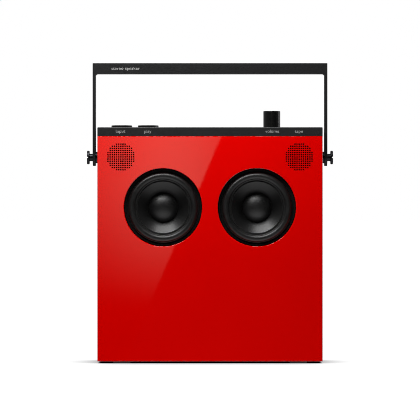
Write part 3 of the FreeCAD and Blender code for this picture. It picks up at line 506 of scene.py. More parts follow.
# %% Plain weave
def plain_weave(name, dark, light, spacing, roughness):
    material, tree, shader, place = new_material(
        name, Roughness=roughness, Sheen_Weight=0.3, Sheen_Roughness=0.4)
    threads = []
    for bands in ("X", "Z"):
        threads.append(add(tree, "ShaderNodeTexWave", {"Vector": place, "Scale": 0.314 / (spacing * MM),
                                                       "Distortion": 0.6, "Detail": 1.0},
                           wave_type="BANDS", bands_direction=bands).outputs["Fac"])
    weave = add(tree, "ShaderNodeMath", {0: threads[0], 1: threads[1]}, operation="MULTIPLY").outputs["Value"]
    tint(tree, shader, weave, dark, light, 0.1, 0.8)
    relief(tree, shader, weave, 0.08)
    return material


# %% [markdown]
# ## Metals
# Small hardware is zinc-plated or blackened steel, the bushes are brass, the heat sink is raw
# extruded aluminium, and the magnets are grey sintered ferrite. A metal's colour is the colour of
# its reflection; roughness says how it was finished, and faint streaks say in which direction.

# %% Worked metal
def worked_metal(name, dark, light, roughness, streak=(1.0, 1.0, 0.15), size=1.0):
    material, tree, shader, place = new_material(name, Metallic=1.0)
    drawn = add(tree, "ShaderNodeMapping", {"Vector": place, "Scale": streak}).outputs["Vector"]
    marks = grain(tree, drawn, size)
    tint(tree, shader, marks, dark, light)
    tree.links.new(between(tree, marks, roughness - 0.07, roughness + 0.07), shader.inputs["Roughness"])
    relief(tree, shader, marks, 0.004)
    return material


def sintered_ferrite():
    material, tree, shader, place = new_material("ground_sintered_ferrite", IOR=2.4)
    crystals = add(tree, "ShaderNodeTexVoronoi",
                   {"Vector": place, "Scale": 1.0 / (0.9 * MM)}).outputs["Distance"]
    tint(tree, shader, crystals, "3A3A3C", "4C4C4F", 0.0, 0.7)
    tree.links.new(between(tree, crystals, 0.5, 0.65, 0.0, 0.8), shader.inputs["Roughness"])
    relief(tree, shader, crystals, 0.01)
    return material


# %% [markdown]
# ## Electronics
# The boards are glass-fibre laminate under a green solder mask, with copper tracks showing
# through as paler lines. The battery cells wear a shrunk PVC sleeve, and the leads are PVC too.

# %% Laminate, sleeve and insulation
def board_laminate():
    material, tree, shader, place = new_material(
        "solder_masked_laminate", Roughness=0.32, IOR=1.55, Coat_Weight=0.3)
    tracks = add(tree, "ShaderNodeTexBrick", {"Vector": place, "Scale": 1.0, "Brick Width": 7.0 * MM,
                                              "Row Height": 2.4 * MM, "Mortar Size": 0.35 * MM,
                                              "Color1": linear("0D3B22"), "Color2": linear("0F4327"),
                                              "Mortar": linear("1E6A3C")})
    tree.links.new(tracks.outputs["Color"], shader.inputs["Base Color"])
    relief(tree, shader, tracks.outputs["Fac"], 0.02)
    return material


def shrunk_pvc(name, dark, light, roughness):
    material, tree, shader, place = new_material(name, IOR=1.53)
    wrinkles = add(tree, "ShaderNodeMapping", {"Vector": place, "Scale": (0.25, 1.0, 1.0)}).outputs["Vector"]
    folds = grain(tree, wrinkles, 1.6, detail=2.0)
    tint(tree, shader, folds, dark, light)
    tree.links.new(between(tree, folds, roughness, roughness + 0.08), shader.inputs["Roughness"])
    relief(tree, shader, folds, 0.015)
    return material


# %% [markdown]
# ## Printing ink
# The words are pad-printed in one pass of pale grey ink. Ink is matt, has a slightly uneven
# film, and is a hundredth of a millimetre or two thick.

# %% Ink
def printed_ink():
    material, tree, shader, place = new_material("pale_grey_pad_print", Roughness=0.6)
    tint(tree, shader, grain(tree, place, 0.6), "8E8E8C", "A0A09E")
    relief(tree, shader, grain(tree, place, 0.2), 0.002)
    return material

# %% [markdown]
# ## One finish for each kind of part
# Now the materials are made once each and given to the parts. The record of the model names a
# slot for each part, so most parts get their finish by slot; a few, such as the silk tweeter
# domes, differ from the rest of their slot and are named one by one.

# %% Make the finishes and give them to the parts
STEEL = worked_metal("black_zinc_plated_steel", "3E3E40", "4C4C4F", 0.38)
INK = printed_ink()
FINISH = {
    "panel_gloss": gloss_lacquer(),
    "case_plastic": moulded_abs("spark_textured_black_abs", "1E1E1F", "232324", 0.45, 0.030, 0.52),
    "deck_plastic": moulded_abs("satin_charcoal_abs", "1A1A1B", "1D1D1E", 0.35, 0.012, 0.42, 0.35),
    "control_plastic": moulded_abs("fine_satin_black_abs", "0C0C0C", "0F0F0F", 0.3, 0.004, 0.3, 0.3),
    "fitting_plastic": moulded_abs("smooth_black_abs", "191919", "1D1D1D", 0.3, 0.004, 0.34),
    "handle_metal": powder_coat(),
    "pivot_metal": turned_black_aluminium(),
    "foot_rubber": rubber("black_nitrile_rubber", "161616", "1B1B1B", 0.7),
    "dome_silicone": silicone(),
    "screw_steel": STEEL,
    "insert_brass": worked_metal("turned_brass", "B08A3E", "C39B4B", 0.28),
    "basket_steel": moulded_abs("black_enamel_on_pressed_steel", "141414", "181818", 0.8, 0.004, 0.3),
    "yoke_steel": worked_metal("zinc_plated_forged_steel", "9A9B9E", "B1B2B4", 0.35, (1.0, 1.0, 1.0)),
    "magnet_ferrite": sintered_ferrite(),
    "surround_rubber": rubber("black_butyl_rubber", "0B0B0B", "0F0F0F", 0.42, 0.45),
    "cone_fibre": pressed_fibre("coated_black_paper", "040404", "090909", 0.36, 0.1),
    "spider_cloth": plain_weave("resin_stiffened_cotton", "8F6B2E", "B98F47", 0.5, 0.7),
    "coil_aluminium": worked_metal("coil_former_aluminium", "B5B6B8", "C9CACC", 0.3),
    "board_laminate": board_laminate(),
    "sink_aluminium": worked_metal("extruded_aluminium", "A9ABAE", "C2C4C6", 0.36, (1.0, 0.1, 1.0)),
    "cell_sleeve": shrunk_pvc("shrunk_grey_pvc_sleeve", "3B4A55", "465662", 0.3),
    "lead_insulation": shrunk_pvc("red_pvc_insulation", "8A1410", "9A1A14", 0.4),
}
SILK = plain_weave("black_coated_silk", "0C0C0C", "1A1A1A", 0.25, 0.5)
DUST_CAP = moulded_abs("satin_black_moulded_cap", "0A0A0A", "0D0D0D", 0.8, 0.002, 0.44)
OWN_FINISH = {"left_tweeter_dome": SILK, "right_tweeter_dome": SILK}

SLOT = {part["node"]: part["material_slot"] for part in record["subparts"]}
for name, part in nodes.items():
    finish = OWN_FINISH.get(name, FINISH[SLOT[name]])
    for slot in part.material_slots:
        slot.material = finish
print(len(FINISH), "finishes on", len(nodes), "parts")

# %% [markdown]
# ## Turned parts
# A loudspeaker's moving parts are all rings and caps: their shape is half an outline, turned
# about the driver's axis. A Geometry Nodes tree does what a lathe does. The outline comes in as
# the object's own edges; the tree sweeps it round a circle, welds the seam and the points on the
# axis, and ends with the material.

# %% The lathe tree
def lathe_tree():
    tree = bpy.data.node_groups.new("lathe", "GeometryNodeTree")
    tree.is_modifier = True
    tree.interface.new_socket("Outline", in_out="INPUT", socket_type="NodeSocketGeometry")
    tree.interface.new_socket("Segments", in_out="INPUT", socket_type="NodeSocketInt")
    tree.interface.new_socket("Finish", in_out="INPUT", socket_type="NodeSocketMaterial")
    tree.interface.new_socket("Turned part", in_out="OUTPUT", socket_type="NodeSocketGeometry")
    given = add(tree, "NodeGroupInput").outputs
    outline = add(tree, "GeometryNodeMeshToCurve", {"Mesh": given["Outline"]})
    # the circle has radius 1, so the outline starts one metre in
    shifted = add(tree, "GeometryNodeTransform",
                  {"Geometry": outline.outputs["Curve"], "Translation": (-1.0, 0, 0)})
    circle = add(tree, "GeometryNodeCurvePrimitiveCircle", {"Resolution": given["Segments"], "Radius": 1.0})
    swept = add(tree, "GeometryNodeCurveToMesh", {"Curve": circle.outputs["Curve"],
                                                  "Profile Curve": shifted.outputs["Geometry"]})
    welded = add(tree, "GeometryNodeMergeByDistance",
                 {"Geometry": swept.outputs["Mesh"], "Distance": 0.004 * MM})
    real = add(tree, "GeometryNodeRealizeInstances", {"Geometry": welded.outputs["Geometry"]})
    done = add(tree, "GeometryNodeSetMaterial",
               {"Geometry": real.outputs["Geometry"], "Material": given["Finish"]})
    add(tree, "NodeGroupOutput", {"Turned part": done.outputs["Geometry"]})
    return tree


LATHE = lathe_tree()


def run_tree(holder, tree, values):
    """Runs a tree on an object as a modifier and returns the result as a plain mesh."""
    modifier = holder.modifiers.new(tree.name, "NODES")
    modifier.node_group = tree
    for item in tree.interface.items_tree:
        if item.in_out == "INPUT" and item.name in values:
            modifier[item.identifier] = values[item.name]
    scene.collection.objects.link(holder)
    graph = bpy.context.evaluated_depsgraph_get()
    result = bpy.data.meshes.new_from_object(holder.evaluated_get(graph))
    bpy.data.objects.remove(holder)
    return result


def new_piece(name, mesh, sharp=40.0):
    """Makes an object of a closed mesh: normals outwards, smooth but for edges sharper than this."""
    form = bmesh.new()
    form.from_mesh(mesh)
    bmesh.ops.remove_doubles(form, verts=form.verts, dist=0.0005 * MM)
    bmesh.ops.recalc_face_normals(form, faces=form.faces)
    open_edges = sum(not edge.is_manifold for edge in form.edges)
    for face in form.faces:
        face.smooth = True
    form.to_mesh(mesh)
    form.free()
    mesh.set_sharp_from_angle(angle=math.radians(sharp))
    mesh.name = name
    piece = bpy.data.objects.new(name, mesh)
    scene.collection.objects.link(piece)
    print(name, len(mesh.polygons), "faces, open edges", open_edges)
    return piece


def turned(outline, closed, segments, finish):
    """Turns an outline of (radius, depth) in millimetres. Depth points along +Y, behind the front."""
    mesh = bpy.data.meshes.new("outline")
    count = len(outline)
    edges = [(n, (n + 1) % count) for n in range(count if closed else count - 1)]
    mesh.from_pydata([(radius * MM, depth * MM, 0.0) for radius, depth in outline], edges, [])
    return run_tree(bpy.data.objects.new("outline", mesh), LATHE, {"Segments": segments, "Finish": finish})


def arc(centre, radius, start, end, steps):
    """Points of an arc in the outline's plane; angles in degrees, from the radius towards depth."""
    angles = [math.radians(start + (end - start) * n / steps) for n in range(steps + 1)]
    return [(centre[0] + radius * math.cos(a), centre[1] + radius * math.sin(a)) for a in angles]


def curve_through(start, through, end, steps):
    """Points of a smooth bow from start to end that passes the middle point."""
    points = []
    for n in range(steps + 1):
        t = n / steps
        a, b, c = (1 - t) * (1 - 2 * t), 4 * t * (1 - t), t * (2 * t - 1)
        points.append(tuple(a * p + b * q + c * r for p, q, r in zip(start, through, end)))
    return points


def cap_points(radius, rim, rise, steps):
    """Points of a spherical cap from the axis out to its rim; the apex is nearer the front."""
    sphere = (radius ** 2 + rise ** 2) / (2 * rise)
    reach = math.asin(radius / sphere)
    return [(sphere * math.sin(reach * n / steps), rim - rise + sphere * (1 - math.cos(reach * n / steps)))
            for n in range(steps + 1)]


print("tools for turned parts are ready")

# %% [markdown]
# ## Half-roll surrounds
# The surround is a thin moulded rubber ring: a flat outer flange glued to the steel basket, one half-round
# roll that lets the cone move, and an inner flange glued to the cone's lip. A raised gasket of black foam
# goes round the outside, coloured almost pure black with next to no shine, darker than the rubber, as painted
# shade for the recess behind the panel's opening. A small bead goes round the inner edge.
# The lathe gives the exact round section, which is what makes the highlight on it read as a roll.

# %% Outline of the surround
ROLL_OUTER, ROLL_INNER, RUBBER = 32.6, 26.2, 0.6
SEAT = 4.2
ROLL_MIDDLE = (ROLL_OUTER + ROLL_INNER) / 2
ROLL_RADIUS = (ROLL_OUTER - ROLL_INNER) / 2
ROUND_STEPS = 160


def surround_outline():
    outside = [(36.4, 3.5), (36.2, 3.3), (35.0, 3.3), (34.7, 3.45), (34.5, 3.9), (34.2, 4.15),
               (33.6, SEAT), (32.95, SEAT - 0.05)]
    roll = arc((ROLL_MIDDLE, SEAT), ROLL_RADIUS, -4, -176, 34)
    inside = [(25.9, SEAT - 0.02), (25.2, SEAT), (24.75, SEAT - 0.05), (24.5, SEAT - 0.3),
              (24.25, SEAT - 0.4), (24.0, SEAT - 0.3), (23.85, SEAT), (23.95, 4.75)]
    back_roll = arc((ROLL_MIDDLE, SEAT), ROLL_RADIUS - RUBBER, -170, -10, 24)
    hollow = [(radius, max(depth, 0)) for radius, depth in back_roll]
    back = [(26.7, 4.8)] + hollow + [(32.1, 4.8), (36.4, 4.8)]
    return outside + roll + inside + back


# %% [markdown]
# A surround has to stretch with its cone: its outer edge stays on the case and its inner edge moves. Here the
# ring does not bend: its placement is only baked into its mesh, and it is joined to neither the case nor the
# cone.

# %% Bake the rings in place
def flex(piece):
    """Bakes a ring's placement into its mesh; the ring does not bend."""
    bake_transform(piece)


def put_on_axis(mesh, side):
    """Moves a turned mesh from the lathe's axis to the woofer's. The lathe turns about Z."""
    axis = WOOFERS[side]
    mesh.transform(Matrix.Translation((axis.x, FRONT_Y, axis.z)) @ Matrix.Rotation(math.radians(90), 4, "X"))


# painted shade: the gasket ring outside 33 mm is made nearly black to stand for the shade in its recess
GASKET_PAINTED_SHADE = rubber("black_foam_gasket_painted_shade", "020202", "050505", 0.85, 0.15)
GASKET_PAINTED_SHADE_INNER = 33.0 * MM

for side in WOOFERS:
    ring = turned(surround_outline(), True, ROUND_STEPS, FINISH["surround_rubber"])
    ring.materials.append(GASKET_PAINTED_SHADE)
    for face in ring.polygons:
        face.material_index = int(math.hypot(face.center.x, face.center.y) > GASKET_PAINTED_SHADE_INNER)
    put_on_axis(ring, side)
    piece = new_piece(f"{side}_surround_ring", ring, sharp=50)
    flex(piece)
    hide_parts(f"{side}_woofer_surround")
    low, high = Vector(piece.bound_box[0]), Vector(piece.bound_box[6])
    print(side, "depth of the ring, mm:", round((high.y - low.y) / MM, 2))

# %% [markdown]
# ## Cones and dust caps
# The cone is a thin bowed funnel with a flat lip under the rubber, and the dust cap is a shallow
# dome glued over its throat. Both are thin shells, so each outline goes down the front and back
# up the rear. The bow in the cone's side is slight, and is what spreads its highlight into a fan.

# %% Cones and caps
CONE_LIP, CONE_EDGE, CONE_THROAT = 24.0, 25.6, 12.9
LIP_DEPTH, THROAT_DEPTH, WALL, BOW = 4.8, 14.4, 0.7, 0.35
CAP_RADIUS, CAP_RIM, CAP_RISE, CAP_WALL, CAP_LIP = 13.8, 13.55, 6.6, 0.5, 0.12


def cone_outline():
    middle_radius = (CONE_LIP + CONE_THROAT) / 2 - BOW
    middle_depth = (LIP_DEPTH + THROAT_DEPTH) / 2 + BOW
    front = [(CONE_EDGE, LIP_DEPTH), (24.6, LIP_DEPTH)]
    front += curve_through((CONE_LIP, LIP_DEPTH + 0.1), (middle_radius, middle_depth),
                           (CONE_THROAT, THROAT_DEPTH), 28)
    rear = curve_through((CONE_THROAT, THROAT_DEPTH + WALL + 0.2),
                         (middle_radius + 0.1, middle_depth + WALL + 0.2),
                         (CONE_LIP + 0.3, LIP_DEPTH + WALL), 20)
    return front + rear + [(CONE_EDGE, LIP_DEPTH + WALL)]


def cap_outline():
    outside = cap_points(CAP_RADIUS, CAP_RIM, CAP_RISE, 30)
    inside = cap_points(CAP_RADIUS - CAP_WALL, CAP_RIM, CAP_RISE - CAP_WALL, 22)
    lip = [(CAP_RADIUS - 0.05, CAP_RIM + CAP_LIP), (CAP_RADIUS - CAP_WALL, CAP_RIM + CAP_LIP)]
    return outside + lip + inside[::-1]


for side in WOOFERS:
    funnel = turned(cone_outline(), True, ROUND_STEPS, FINISH["cone_fibre"])
    put_on_axis(funnel, side)
    cone = new_piece(f"{side}_cone_shell", funnel, sharp=50)
    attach(cone, f"{side}_cone")
    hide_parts(f"{side}_woofer_cone")
    dome = turned(cap_outline(), False, ROUND_STEPS, DUST_CAP)
    put_on_axis(dome, side)
    cap = new_piece(f"{side}_cap_dome", dome, sharp=50)
    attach(cap, f"{side}_cone")
    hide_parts(f"{side}_woofer_dust_cap")

# %% [markdown]
# ## Spiders
# Behind the cone a corrugated disc of stiffened cotton keeps the coil centred. Its outer rim is glued to the
# basket and its inner edge to the coil. Like the surround, it is only baked in place and does not bend. The
# waves follow a sine, which the lathe turns into rings.

# %% Corrugated spiders
SPIDER_INNER, SPIDER_OUTER, SPIDER_RIM = 12.9, 23.7, 27.0
SPIDER_DEPTH, SPIDER_CLOTH, SPIDER_SWING, SPIDER_WAVES = 17.0, 0.4, 0.6, 4


def spider_outline():
    steps = 56
    front = []
    for n in range(steps + 1):
        share = n / steps
        radius = SPIDER_INNER + (SPIDER_OUTER - SPIDER_INNER) * share
        front.append((radius, SPIDER_DEPTH - SPIDER_SWING * math.sin(2 * math.pi * SPIDER_WAVES * share)))
    front.append((SPIDER_RIM, SPIDER_DEPTH))
    return front + [(radius, depth + SPIDER_CLOTH) for radius, depth in front[::-1]]


for side in WOOFERS:
    disc = turned(spider_outline(), True, 96, FINISH["spider_cloth"])
    put_on_axis(disc, side)
    piece = new_piece(f"{side}_spider_disc", disc, sharp=60)
    flex(piece)
    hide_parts(f"{side}_woofer_spider")

# %% [markdown]
# ## Silicone domes
# Each button stands on a little bell of silicone that pushes it back up. When the button goes down by 1.2 mm
# the bell flattens by as much; here the bell is built at rest and fixed to the case.

# %% Domes under the buttons
BUTTON_TRAVEL, DOME_HEIGHT = 1.2, 4.5


def dome_outline():
    outside = [(0, DOME_HEIGHT), (2.2, DOME_HEIGHT), (2.55, 4.4), (2.8, 4.1), (4.7, 1.2), (5.0, 0.95),
               (5.4, 0.8), (5.85, 0.8), (6.0, 0.65), (6.0, 0)]
    inside = [(3.0, 0), (3.0, 0.6), (4.0, 0.6), (4.15, 0.75), (2.1, 3.1), (1.8, 3.3), (0, 3.3)]
    return outside + inside


for control in ("input", "play"):
    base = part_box(f"{control}_dome")[0]
    centre = middle(f"{control}_dome")
    bell = turned(dome_outline(), False, 48, FINISH["dome_silicone"])
    # the lathe's outline runs along -Z once turned, so it is stood upright here
    upright = Matrix.Rotation(math.radians(180), 4, "X")
    bell.transform(Matrix.Translation((centre.x, centre.y, base.z)) @ upright)
    piece = new_piece(f"{control}_silicone_bell", bell, sharp=50)
    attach(piece, "casing")
    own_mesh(piece)
    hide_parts(f"{control}_dome")
    low, high = Vector(piece.bound_box[0]), Vector(piece.bound_box[6])
    print(control, "bell height, mm:", round((high.z - low.z) / MM, 2))

# %% [markdown]
# ## Screws
# Twenty-seven screws hold the speaker together, in four sizes. A screw is a turned part with a
# cross pressed into its head, and every one of them stopped at its own angle when it was driven.
# One tree makes them all: it turns the head and shank from sizes, cuts the cross, puts one on
# each point, spins each by a random angle from a fixed seed, and tilts them to face the driver.
# The head's round top is a superellipse: flat in the middle, quick over the edge.

# %% The screw tree
def screw_tree():
    tree = bpy.data.node_groups.new("cross_head_screws", "GeometryNodeTree")
    tree.is_modifier = True
    tree.interface.new_socket("Places", in_out="INPUT", socket_type="NodeSocketGeometry")
    tree.interface.new_socket("Outline", in_out="INPUT", socket_type="NodeSocketObject")
    for size in ("Head height", "Cross length", "Cross width", "Cross depth"):
        tree.interface.new_socket(size, in_out="INPUT", socket_type="NodeSocketFloat")
    tree.interface.new_socket("Tilt", in_out="INPUT", socket_type="NodeSocketVector")
    tree.interface.new_socket("Seed", in_out="INPUT", socket_type="NodeSocketInt")
    tree.interface.new_socket("Finish", in_out="INPUT", socket_type="NodeSocketMaterial")
    tree.interface.new_socket("Screws", in_out="OUTPUT", socket_type="NodeSocketGeometry")
    given = add(tree, "NodeGroupInput").outputs
    # turn the blank: the outline object holds radius along X and height along Y
    drawn = add(tree, "GeometryNodeObjectInfo", {"Object": given["Outline"]}).outputs["Geometry"]
    line = add(tree, "GeometryNodeMeshToCurve", {"Mesh": drawn}).outputs["Curve"]
    shifted = add(tree, "GeometryNodeTransform",
                  {"Geometry": line, "Translation": (-1.0, 0, 0)}).outputs["Geometry"]
    circle = add(tree, "GeometryNodeCurvePrimitiveCircle", {"Resolution": 32, "Radius": 1.0}).outputs["Curve"]
    swept = add(tree, "GeometryNodeCurveToMesh", {"Curve": circle, "Profile Curve": shifted}).outputs["Mesh"]
    blank = add(tree, "GeometryNodeMergeByDistance",
                {"Geometry": swept, "Distance": 0.004 * MM}).outputs["Geometry"]
    upright = add(tree, "GeometryNodeTransform",
                  {"Geometry": blank, "Rotation": (math.pi, 0, 0)}).outputs["Geometry"]
    # two crossed blocks cut the recess; each reaches as far above the head as below
    twice = add(tree, "ShaderNodeMath",
                {0: given["Cross depth"], 1: 2.0}, operation="MULTIPLY").outputs["Value"]
    bars = []
    for x, y in (("Cross length", "Cross width"), ("Cross width", "Cross length")):
        size = add(tree, "ShaderNodeCombineXYZ", {"X": given[x], "Y": given[y], "Z": twice}).outputs["Vector"]
        bars.append(add(tree, "GeometryNodeMeshCube", {"Size": size}).outputs["Mesh"])
    top = add(tree, "ShaderNodeCombineXYZ", {"Z": given["Head height"]}).outputs["Vector"]
    cutters = [add(tree, "GeometryNodeTransform", {"Geometry": bar, "Translation": top}).outputs["Geometry"]
               for bar in bars]
    cut = add(tree, "GeometryNodeMeshBoolean", {"Mesh 1": upright}, operation="DIFFERENCE", solver="EXACT")
    for cutter in cutters:
        tree.links.new(cutter, cut.inputs["Mesh 2"])
    # one on each point, each at its own angle
    spin = add(tree, "FunctionNodeRandomValue",
               {"Seed": given["Seed"], "Min": (0, 0, 0), "Max": (0, 0, math.pi / 2)},
               data_type="FLOAT_VECTOR").outputs["Value"]
    own = add(tree, "FunctionNodeEulerToRotation", {"Euler": spin}).outputs["Rotation"]
    facing = add(tree, "FunctionNodeEulerToRotation", {"Euler": given["Tilt"]}).outputs["Rotation"]
    turned_to = add(tree, "FunctionNodeRotateRotation", {"Rotation": facing, "Rotate By": own},
                    rotation_space="LOCAL").outputs["Rotation"]
    points = add(tree, "GeometryNodeMeshToPoints", {"Mesh": given["Places"]}).outputs["Points"]
    placed = add(tree, "GeometryNodeInstanceOnPoints", {"Points": points, "Instance": cut.outputs["Mesh"],
                                                        "Rotation": turned_to}).outputs["Instances"]
    real = add(tree, "GeometryNodeRealizeInstances", {"Geometry": placed}).outputs["Geometry"]
    done = add(tree, "GeometryNodeSetMaterial",
               {"Geometry": real, "Material": given["Finish"]}).outputs["Geometry"]
    add(tree, "NodeGroupOutput", {"Screws": done})
    return tree


SCREWS = screw_tree()

# %% [markdown]
# The places come from the screws' own solids: each loose island of a screw part's mesh is one
# screw, and the middle of its box is where the new one stands. So nothing is typed in twice.

# %% Where each screw stands
def islands(node):
    """The box of each separate solid in a part, as (lowest corner, highest corner)."""
    form = bmesh.new()
    form.from_mesh(nodes[node].data)
    bmesh.ops.remove_doubles(form, verts=form.verts, dist=0.001 * MM)
    seen, boxes = set(), []
    for start in form.verts:
        if start in seen:
            continue
        group, todo = [], [start]
        seen.add(start)
        while todo:
            vertex = todo.pop()
            group.append(vertex.co.copy())
            for edge in vertex.link_edges:
                other = edge.other_vert(vertex)
                if other not in seen:
                    seen.add(other)
                    todo.append(other)
        boxes.append((Vector([min(p[k] for p in group) for k in range(3)]),
                      Vector([max(p[k] for p in group) for k in range(3)])))
    form.free()
    return boxes


def pan_head(head_radius, head_height, shank_radius, shank_length):
    """Half outline of a screw in millimetres, from the top of its head to its tip."""
    steps = 12
    head = []
    for n in range(steps + 1):
        turn = math.pi / 2 * n / steps
        head.append((head_radius * math.sin(turn) ** 0.6, head_height * math.cos(turn) ** 0.6))
    head[0] = (0.0, head_height)
    return head + [(shank_radius, 0.0), (shank_radius, -shank_length + 0.6), (0.0, -shank_length)]


def make_screws(node, pick, tilt, outline, cross, seed, label):
    """Screws on the islands of a part that the test picks."""
    direction = Matrix.Rotation(tilt[0], 3, "X") @ Vector((0, 0, 1))
    axis = max(range(3), key=lambda k: abs(direction[k]))
    head_height = outline[0][1]
    places = []
    for low, high in islands(node):
        if not pick(low, high):
            continue
        place = (low + high) / 2
        if direction[axis] > 0:
            place[axis] = high[axis] - head_height * MM
        else:
            place[axis] = low[axis] + head_height * MM
        places.append(place)
    profile_mesh = bpy.data.meshes.new("screw_outline")
    profile_mesh.from_pydata([(radius * MM, height * MM, 0.0) for radius, height in outline],
                             [(n, n + 1) for n in range(len(outline) - 1)], [])
    profile = bpy.data.objects.new("screw_outline", profile_mesh)
    scene.collection.objects.link(profile)
    points = bpy.data.meshes.new("places")
    points.from_pydata(places, [], [])
    length, width, depth = cross
    mesh = run_tree(bpy.data.objects.new("places", points), SCREWS, {
        "Outline": profile, "Head height": head_height * MM, "Cross length": length * MM,
        "Cross width": width * MM, "Cross depth": depth * MM, "Tilt": tilt, "Seed": seed, "Finish": STEEL})
    bpy.data.objects.remove(profile)
    piece = new_piece(label, mesh, sharp=35)
    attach(piece, "casing")
    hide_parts(node)
    print(label, len(places), "screws")
    return piece


def any_place(low, high):
    return True


UPRIGHT_SPAN = 6 * MM
REARWARD, FORWARD, DOWNWARD = (-math.pi / 2, 0, 0), (math.pi / 2, 0, 0), (math.pi, 0, 0)
make_screws("rear_screws", any_place, REARWARD, pan_head(2.85, 1.7, 1.5, 14.0),
            (3.2, 0.75, 0.95), 3, "rear_pan_screws")
make_screws("woofer_screws", any_place, FORWARD, pan_head(2.25, 1.2, 1.5, 11.0),
            (2.6, 0.6, 0.7), 5, "woofer_low_screws")
make_screws("deck_screws", any_place, DOWNWARD, pan_head(2.8, 1.5, 1.5, 12.0),
            (3.0, 0.7, 0.9), 7, "deck_pan_screws")
make_screws("board_screws", lambda low, high: high.z - low.z > UPRIGHT_SPAN, DOWNWARD,
            pan_head(1.85, 1.5, 1.0, 7.0), (2.0, 0.5, 0.8), 11, "control_board_screws")
make_screws("board_screws", lambda low, high: high.z - low.z < UPRIGHT_SPAN, FORWARD,
            pan_head(1.85, 1.5, 1.0, 8.0), (2.0, 0.5, 0.8), 13, "main_board_screws")

# %% [markdown]
# ## Contacts in the power socket
# The tongue of the power socket carries a row of gold-plated springs on each side, half a
# millimetre apart. A row of equal pads is the simplest Geometry Nodes job there is: a line of
# points with one pad on each.

# %% The contact rows
def contact_tree():
    tree = bpy.data.node_groups.new("contact_rows", "GeometryNodeTree")
    tree.is_modifier = True
    tree.interface.new_socket("Start", in_out="INPUT", socket_type="NodeSocketGeometry")
    tree.interface.new_socket("Count", in_out="INPUT", socket_type="NodeSocketInt")
    tree.interface.new_socket("Pitch", in_out="INPUT", socket_type="NodeSocketVector")
    tree.interface.new_socket("Pad size", in_out="INPUT", socket_type="NodeSocketVector")
    tree.interface.new_socket("Finish", in_out="INPUT", socket_type="NodeSocketMaterial")
    tree.interface.new_socket("Contacts", in_out="OUTPUT", socket_type="NodeSocketGeometry")
    given = add(tree, "NodeGroupInput").outputs
    row = add(tree, "GeometryNodeMeshLine", {"Count": given["Count"], "Offset": given["Pitch"]},
              mode="OFFSET").outputs["Mesh"]
    rows = add(tree, "GeometryNodeInstanceOnPoints",
               {"Points": given["Start"], "Instance": row}).outputs["Instances"]
    spots = add(tree, "GeometryNodeRealizeInstances", {"Geometry": rows}).outputs["Geometry"]
    pad = add(tree, "GeometryNodeMeshCube", {"Size": given["Pad size"], "Vertices Y": 4}).outputs["Mesh"]
    pads = add(tree, "GeometryNodeInstanceOnPoints", {"Points": spots, "Instance": pad}).outputs["Instances"]
    real = add(tree, "GeometryNodeRealizeInstances", {"Geometry": pads}).outputs["Geometry"]
    done = add(tree, "GeometryNodeSetMaterial",
               {"Geometry": real, "Material": given["Finish"]}).outputs["Geometry"]
    add(tree, "NodeGroupOutput", {"Contacts": done})
    return tree


SOCKET = middle("usb_socket")
SOCKET_NOSE, ROW_HALF, ROW_DEPTH, ROW_HEIGHT = 0.6, 2.5, 2.6, 0.37
BAY_FLOOR_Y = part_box("usb_socket")[1].y - SOCKET_NOSE * MM
GOLD = worked_metal("gold_plated_contacts", "D9A441", "E8BC5C", 0.25)
starts = bpy.data.meshes.new("row_starts")
row_starts = [(SOCKET.x - ROW_HALF * MM, BAY_FLOOR_Y - ROW_DEPTH * MM, SOCKET.z + side * ROW_HEIGHT * MM)
              for side in (-1, 1)]
starts.from_pydata(row_starts, [], [])
pads = run_tree(bpy.data.objects.new("row_starts", starts), contact_tree(), {
    "Count": 11, "Pitch": (0.5 * MM, 0.0, 0.0), "Pad size": (0.28 * MM, 3.6 * MM, 0.06 * MM), "Finish": GOLD})
contacts = new_piece("socket_contacts", pads)
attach(contacts, "casing")

# %% [markdown]
# ## Printed words
# Four small words name the controls along the front edge of the deck, one plain line marks the
# handle, and two name the sockets. They are flat letters from the built-in font, given a hair of
# thickness, turned to face the reader and centred on the control that they name. The word
# "volume" is about 13 mm wide, and the other control names are printed from the same type.

# %% Words
INK_THICKNESS = 0.02
LETTER_SIZE = 4.25
SOCKET_LETTERS = 3.4
WORD_ABOVE_SOCKET = 7.5 * MM
HANDLE_WORD_X, HANDLE_WORD_DROP = -93 * MM, 5.3 * MM


def letters(word, size):
    """Flat letters as a mesh in the XY plane, with a hair of thickness, centred on the origin."""
    drawing = bpy.data.curves.new(word, "FONT")
    drawing.body = word
    drawing.size = size * MM
    drawing.extrude = INK_THICKNESS / 2 * MM
    drawing.resolution_u = 4
    drawing.space_character = 1.04
    holder = bpy.data.objects.new("letters", drawing)
    scene.collection.objects.link(holder)
    mesh = bpy.data.meshes.new_from_object(holder.evaluated_get(bpy.context.evaluated_depsgraph_get()))
    bpy.data.objects.remove(holder)
    return mesh


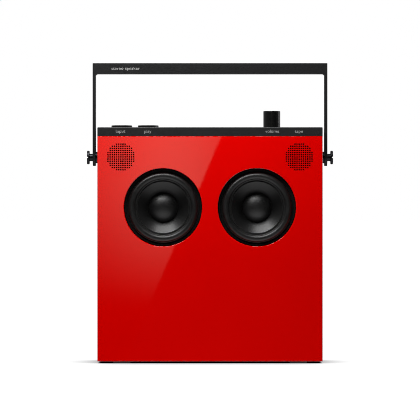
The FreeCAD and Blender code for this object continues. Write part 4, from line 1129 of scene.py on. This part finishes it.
def print_word(word, x, y, z, size, body, label, from_behind=False, start_at_x=False):
    """Prints a word on an upright face. Its small letters are centred on the height z."""
    mesh = letters(word, size)
    width = max(v.co.x for v in mesh.vertices) - min(v.co.x for v in mesh.vertices)
    left = min(v.co.x for v in mesh.vertices)
    x_height = size * 0.5 * MM
    shift = Matrix.Translation((-left if start_at_x else -left - width / 2, -x_height / 2, 0))
    stand = Matrix.Rotation(math.radians(90), 4, "X")
    if from_behind:
        stand = Matrix.Rotation(math.radians(180), 4, "Z") @ stand
    mesh.transform(Matrix.Translation((x, y, z)) @ stand @ shift)
    mesh.materials.clear()
    mesh.materials.append(INK)
    piece = new_piece(label, mesh, sharp=30)
    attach(piece, body)
    print(label, "width, mm:", round(width / MM, 2))
    return piece


DECK_WORDS = {"input": ("input_button", -0.2), "play": ("play_button", 0.3), "volume": ("volume_knob", -0.3),
              "tape": ("tape_dial", -0.3)}
WORD_Z = (PANEL_TOP_Z + DECK_TOP_Z) / 2
for word, (control, nudge) in DECK_WORDS.items():
    print_word(word, middle(control).x + nudge * MM, FRONT_Y - INK_THICKNESS / 2 * MM, WORD_Z, LETTER_SIZE,
               "casing", f"word_{word}")
for word, socket in {"line in": "line_in_jack", "power": "usb_socket"}.items():
    print_word(word, middle(socket).x, BAY_FLOOR_Y + INK_THICKNESS / 2 * MM,
               middle(socket).z + WORD_ABOVE_SOCKET, SOCKET_LETTERS, "casing",
               f"word_{word.replace(' ', '_')}", from_behind=True)
HANDLE_FRONT_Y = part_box("handle")[0].y
print_word("stereo speaker", HANDLE_WORD_X, HANDLE_FRONT_Y - INK_THICKNESS / 2 * MM,
           HANDLE_TOP_Z - HANDLE_WORD_DROP, LETTER_SIZE, "handle", "word_handle", start_at_x=True)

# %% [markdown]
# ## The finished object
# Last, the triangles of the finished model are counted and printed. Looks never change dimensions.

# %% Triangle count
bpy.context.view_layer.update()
meshes = [piece.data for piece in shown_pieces() if piece.type == "MESH"]
print("triangles:", sum(len(face.vertices) - 2 for mesh in meshes for face in mesh.polygons))
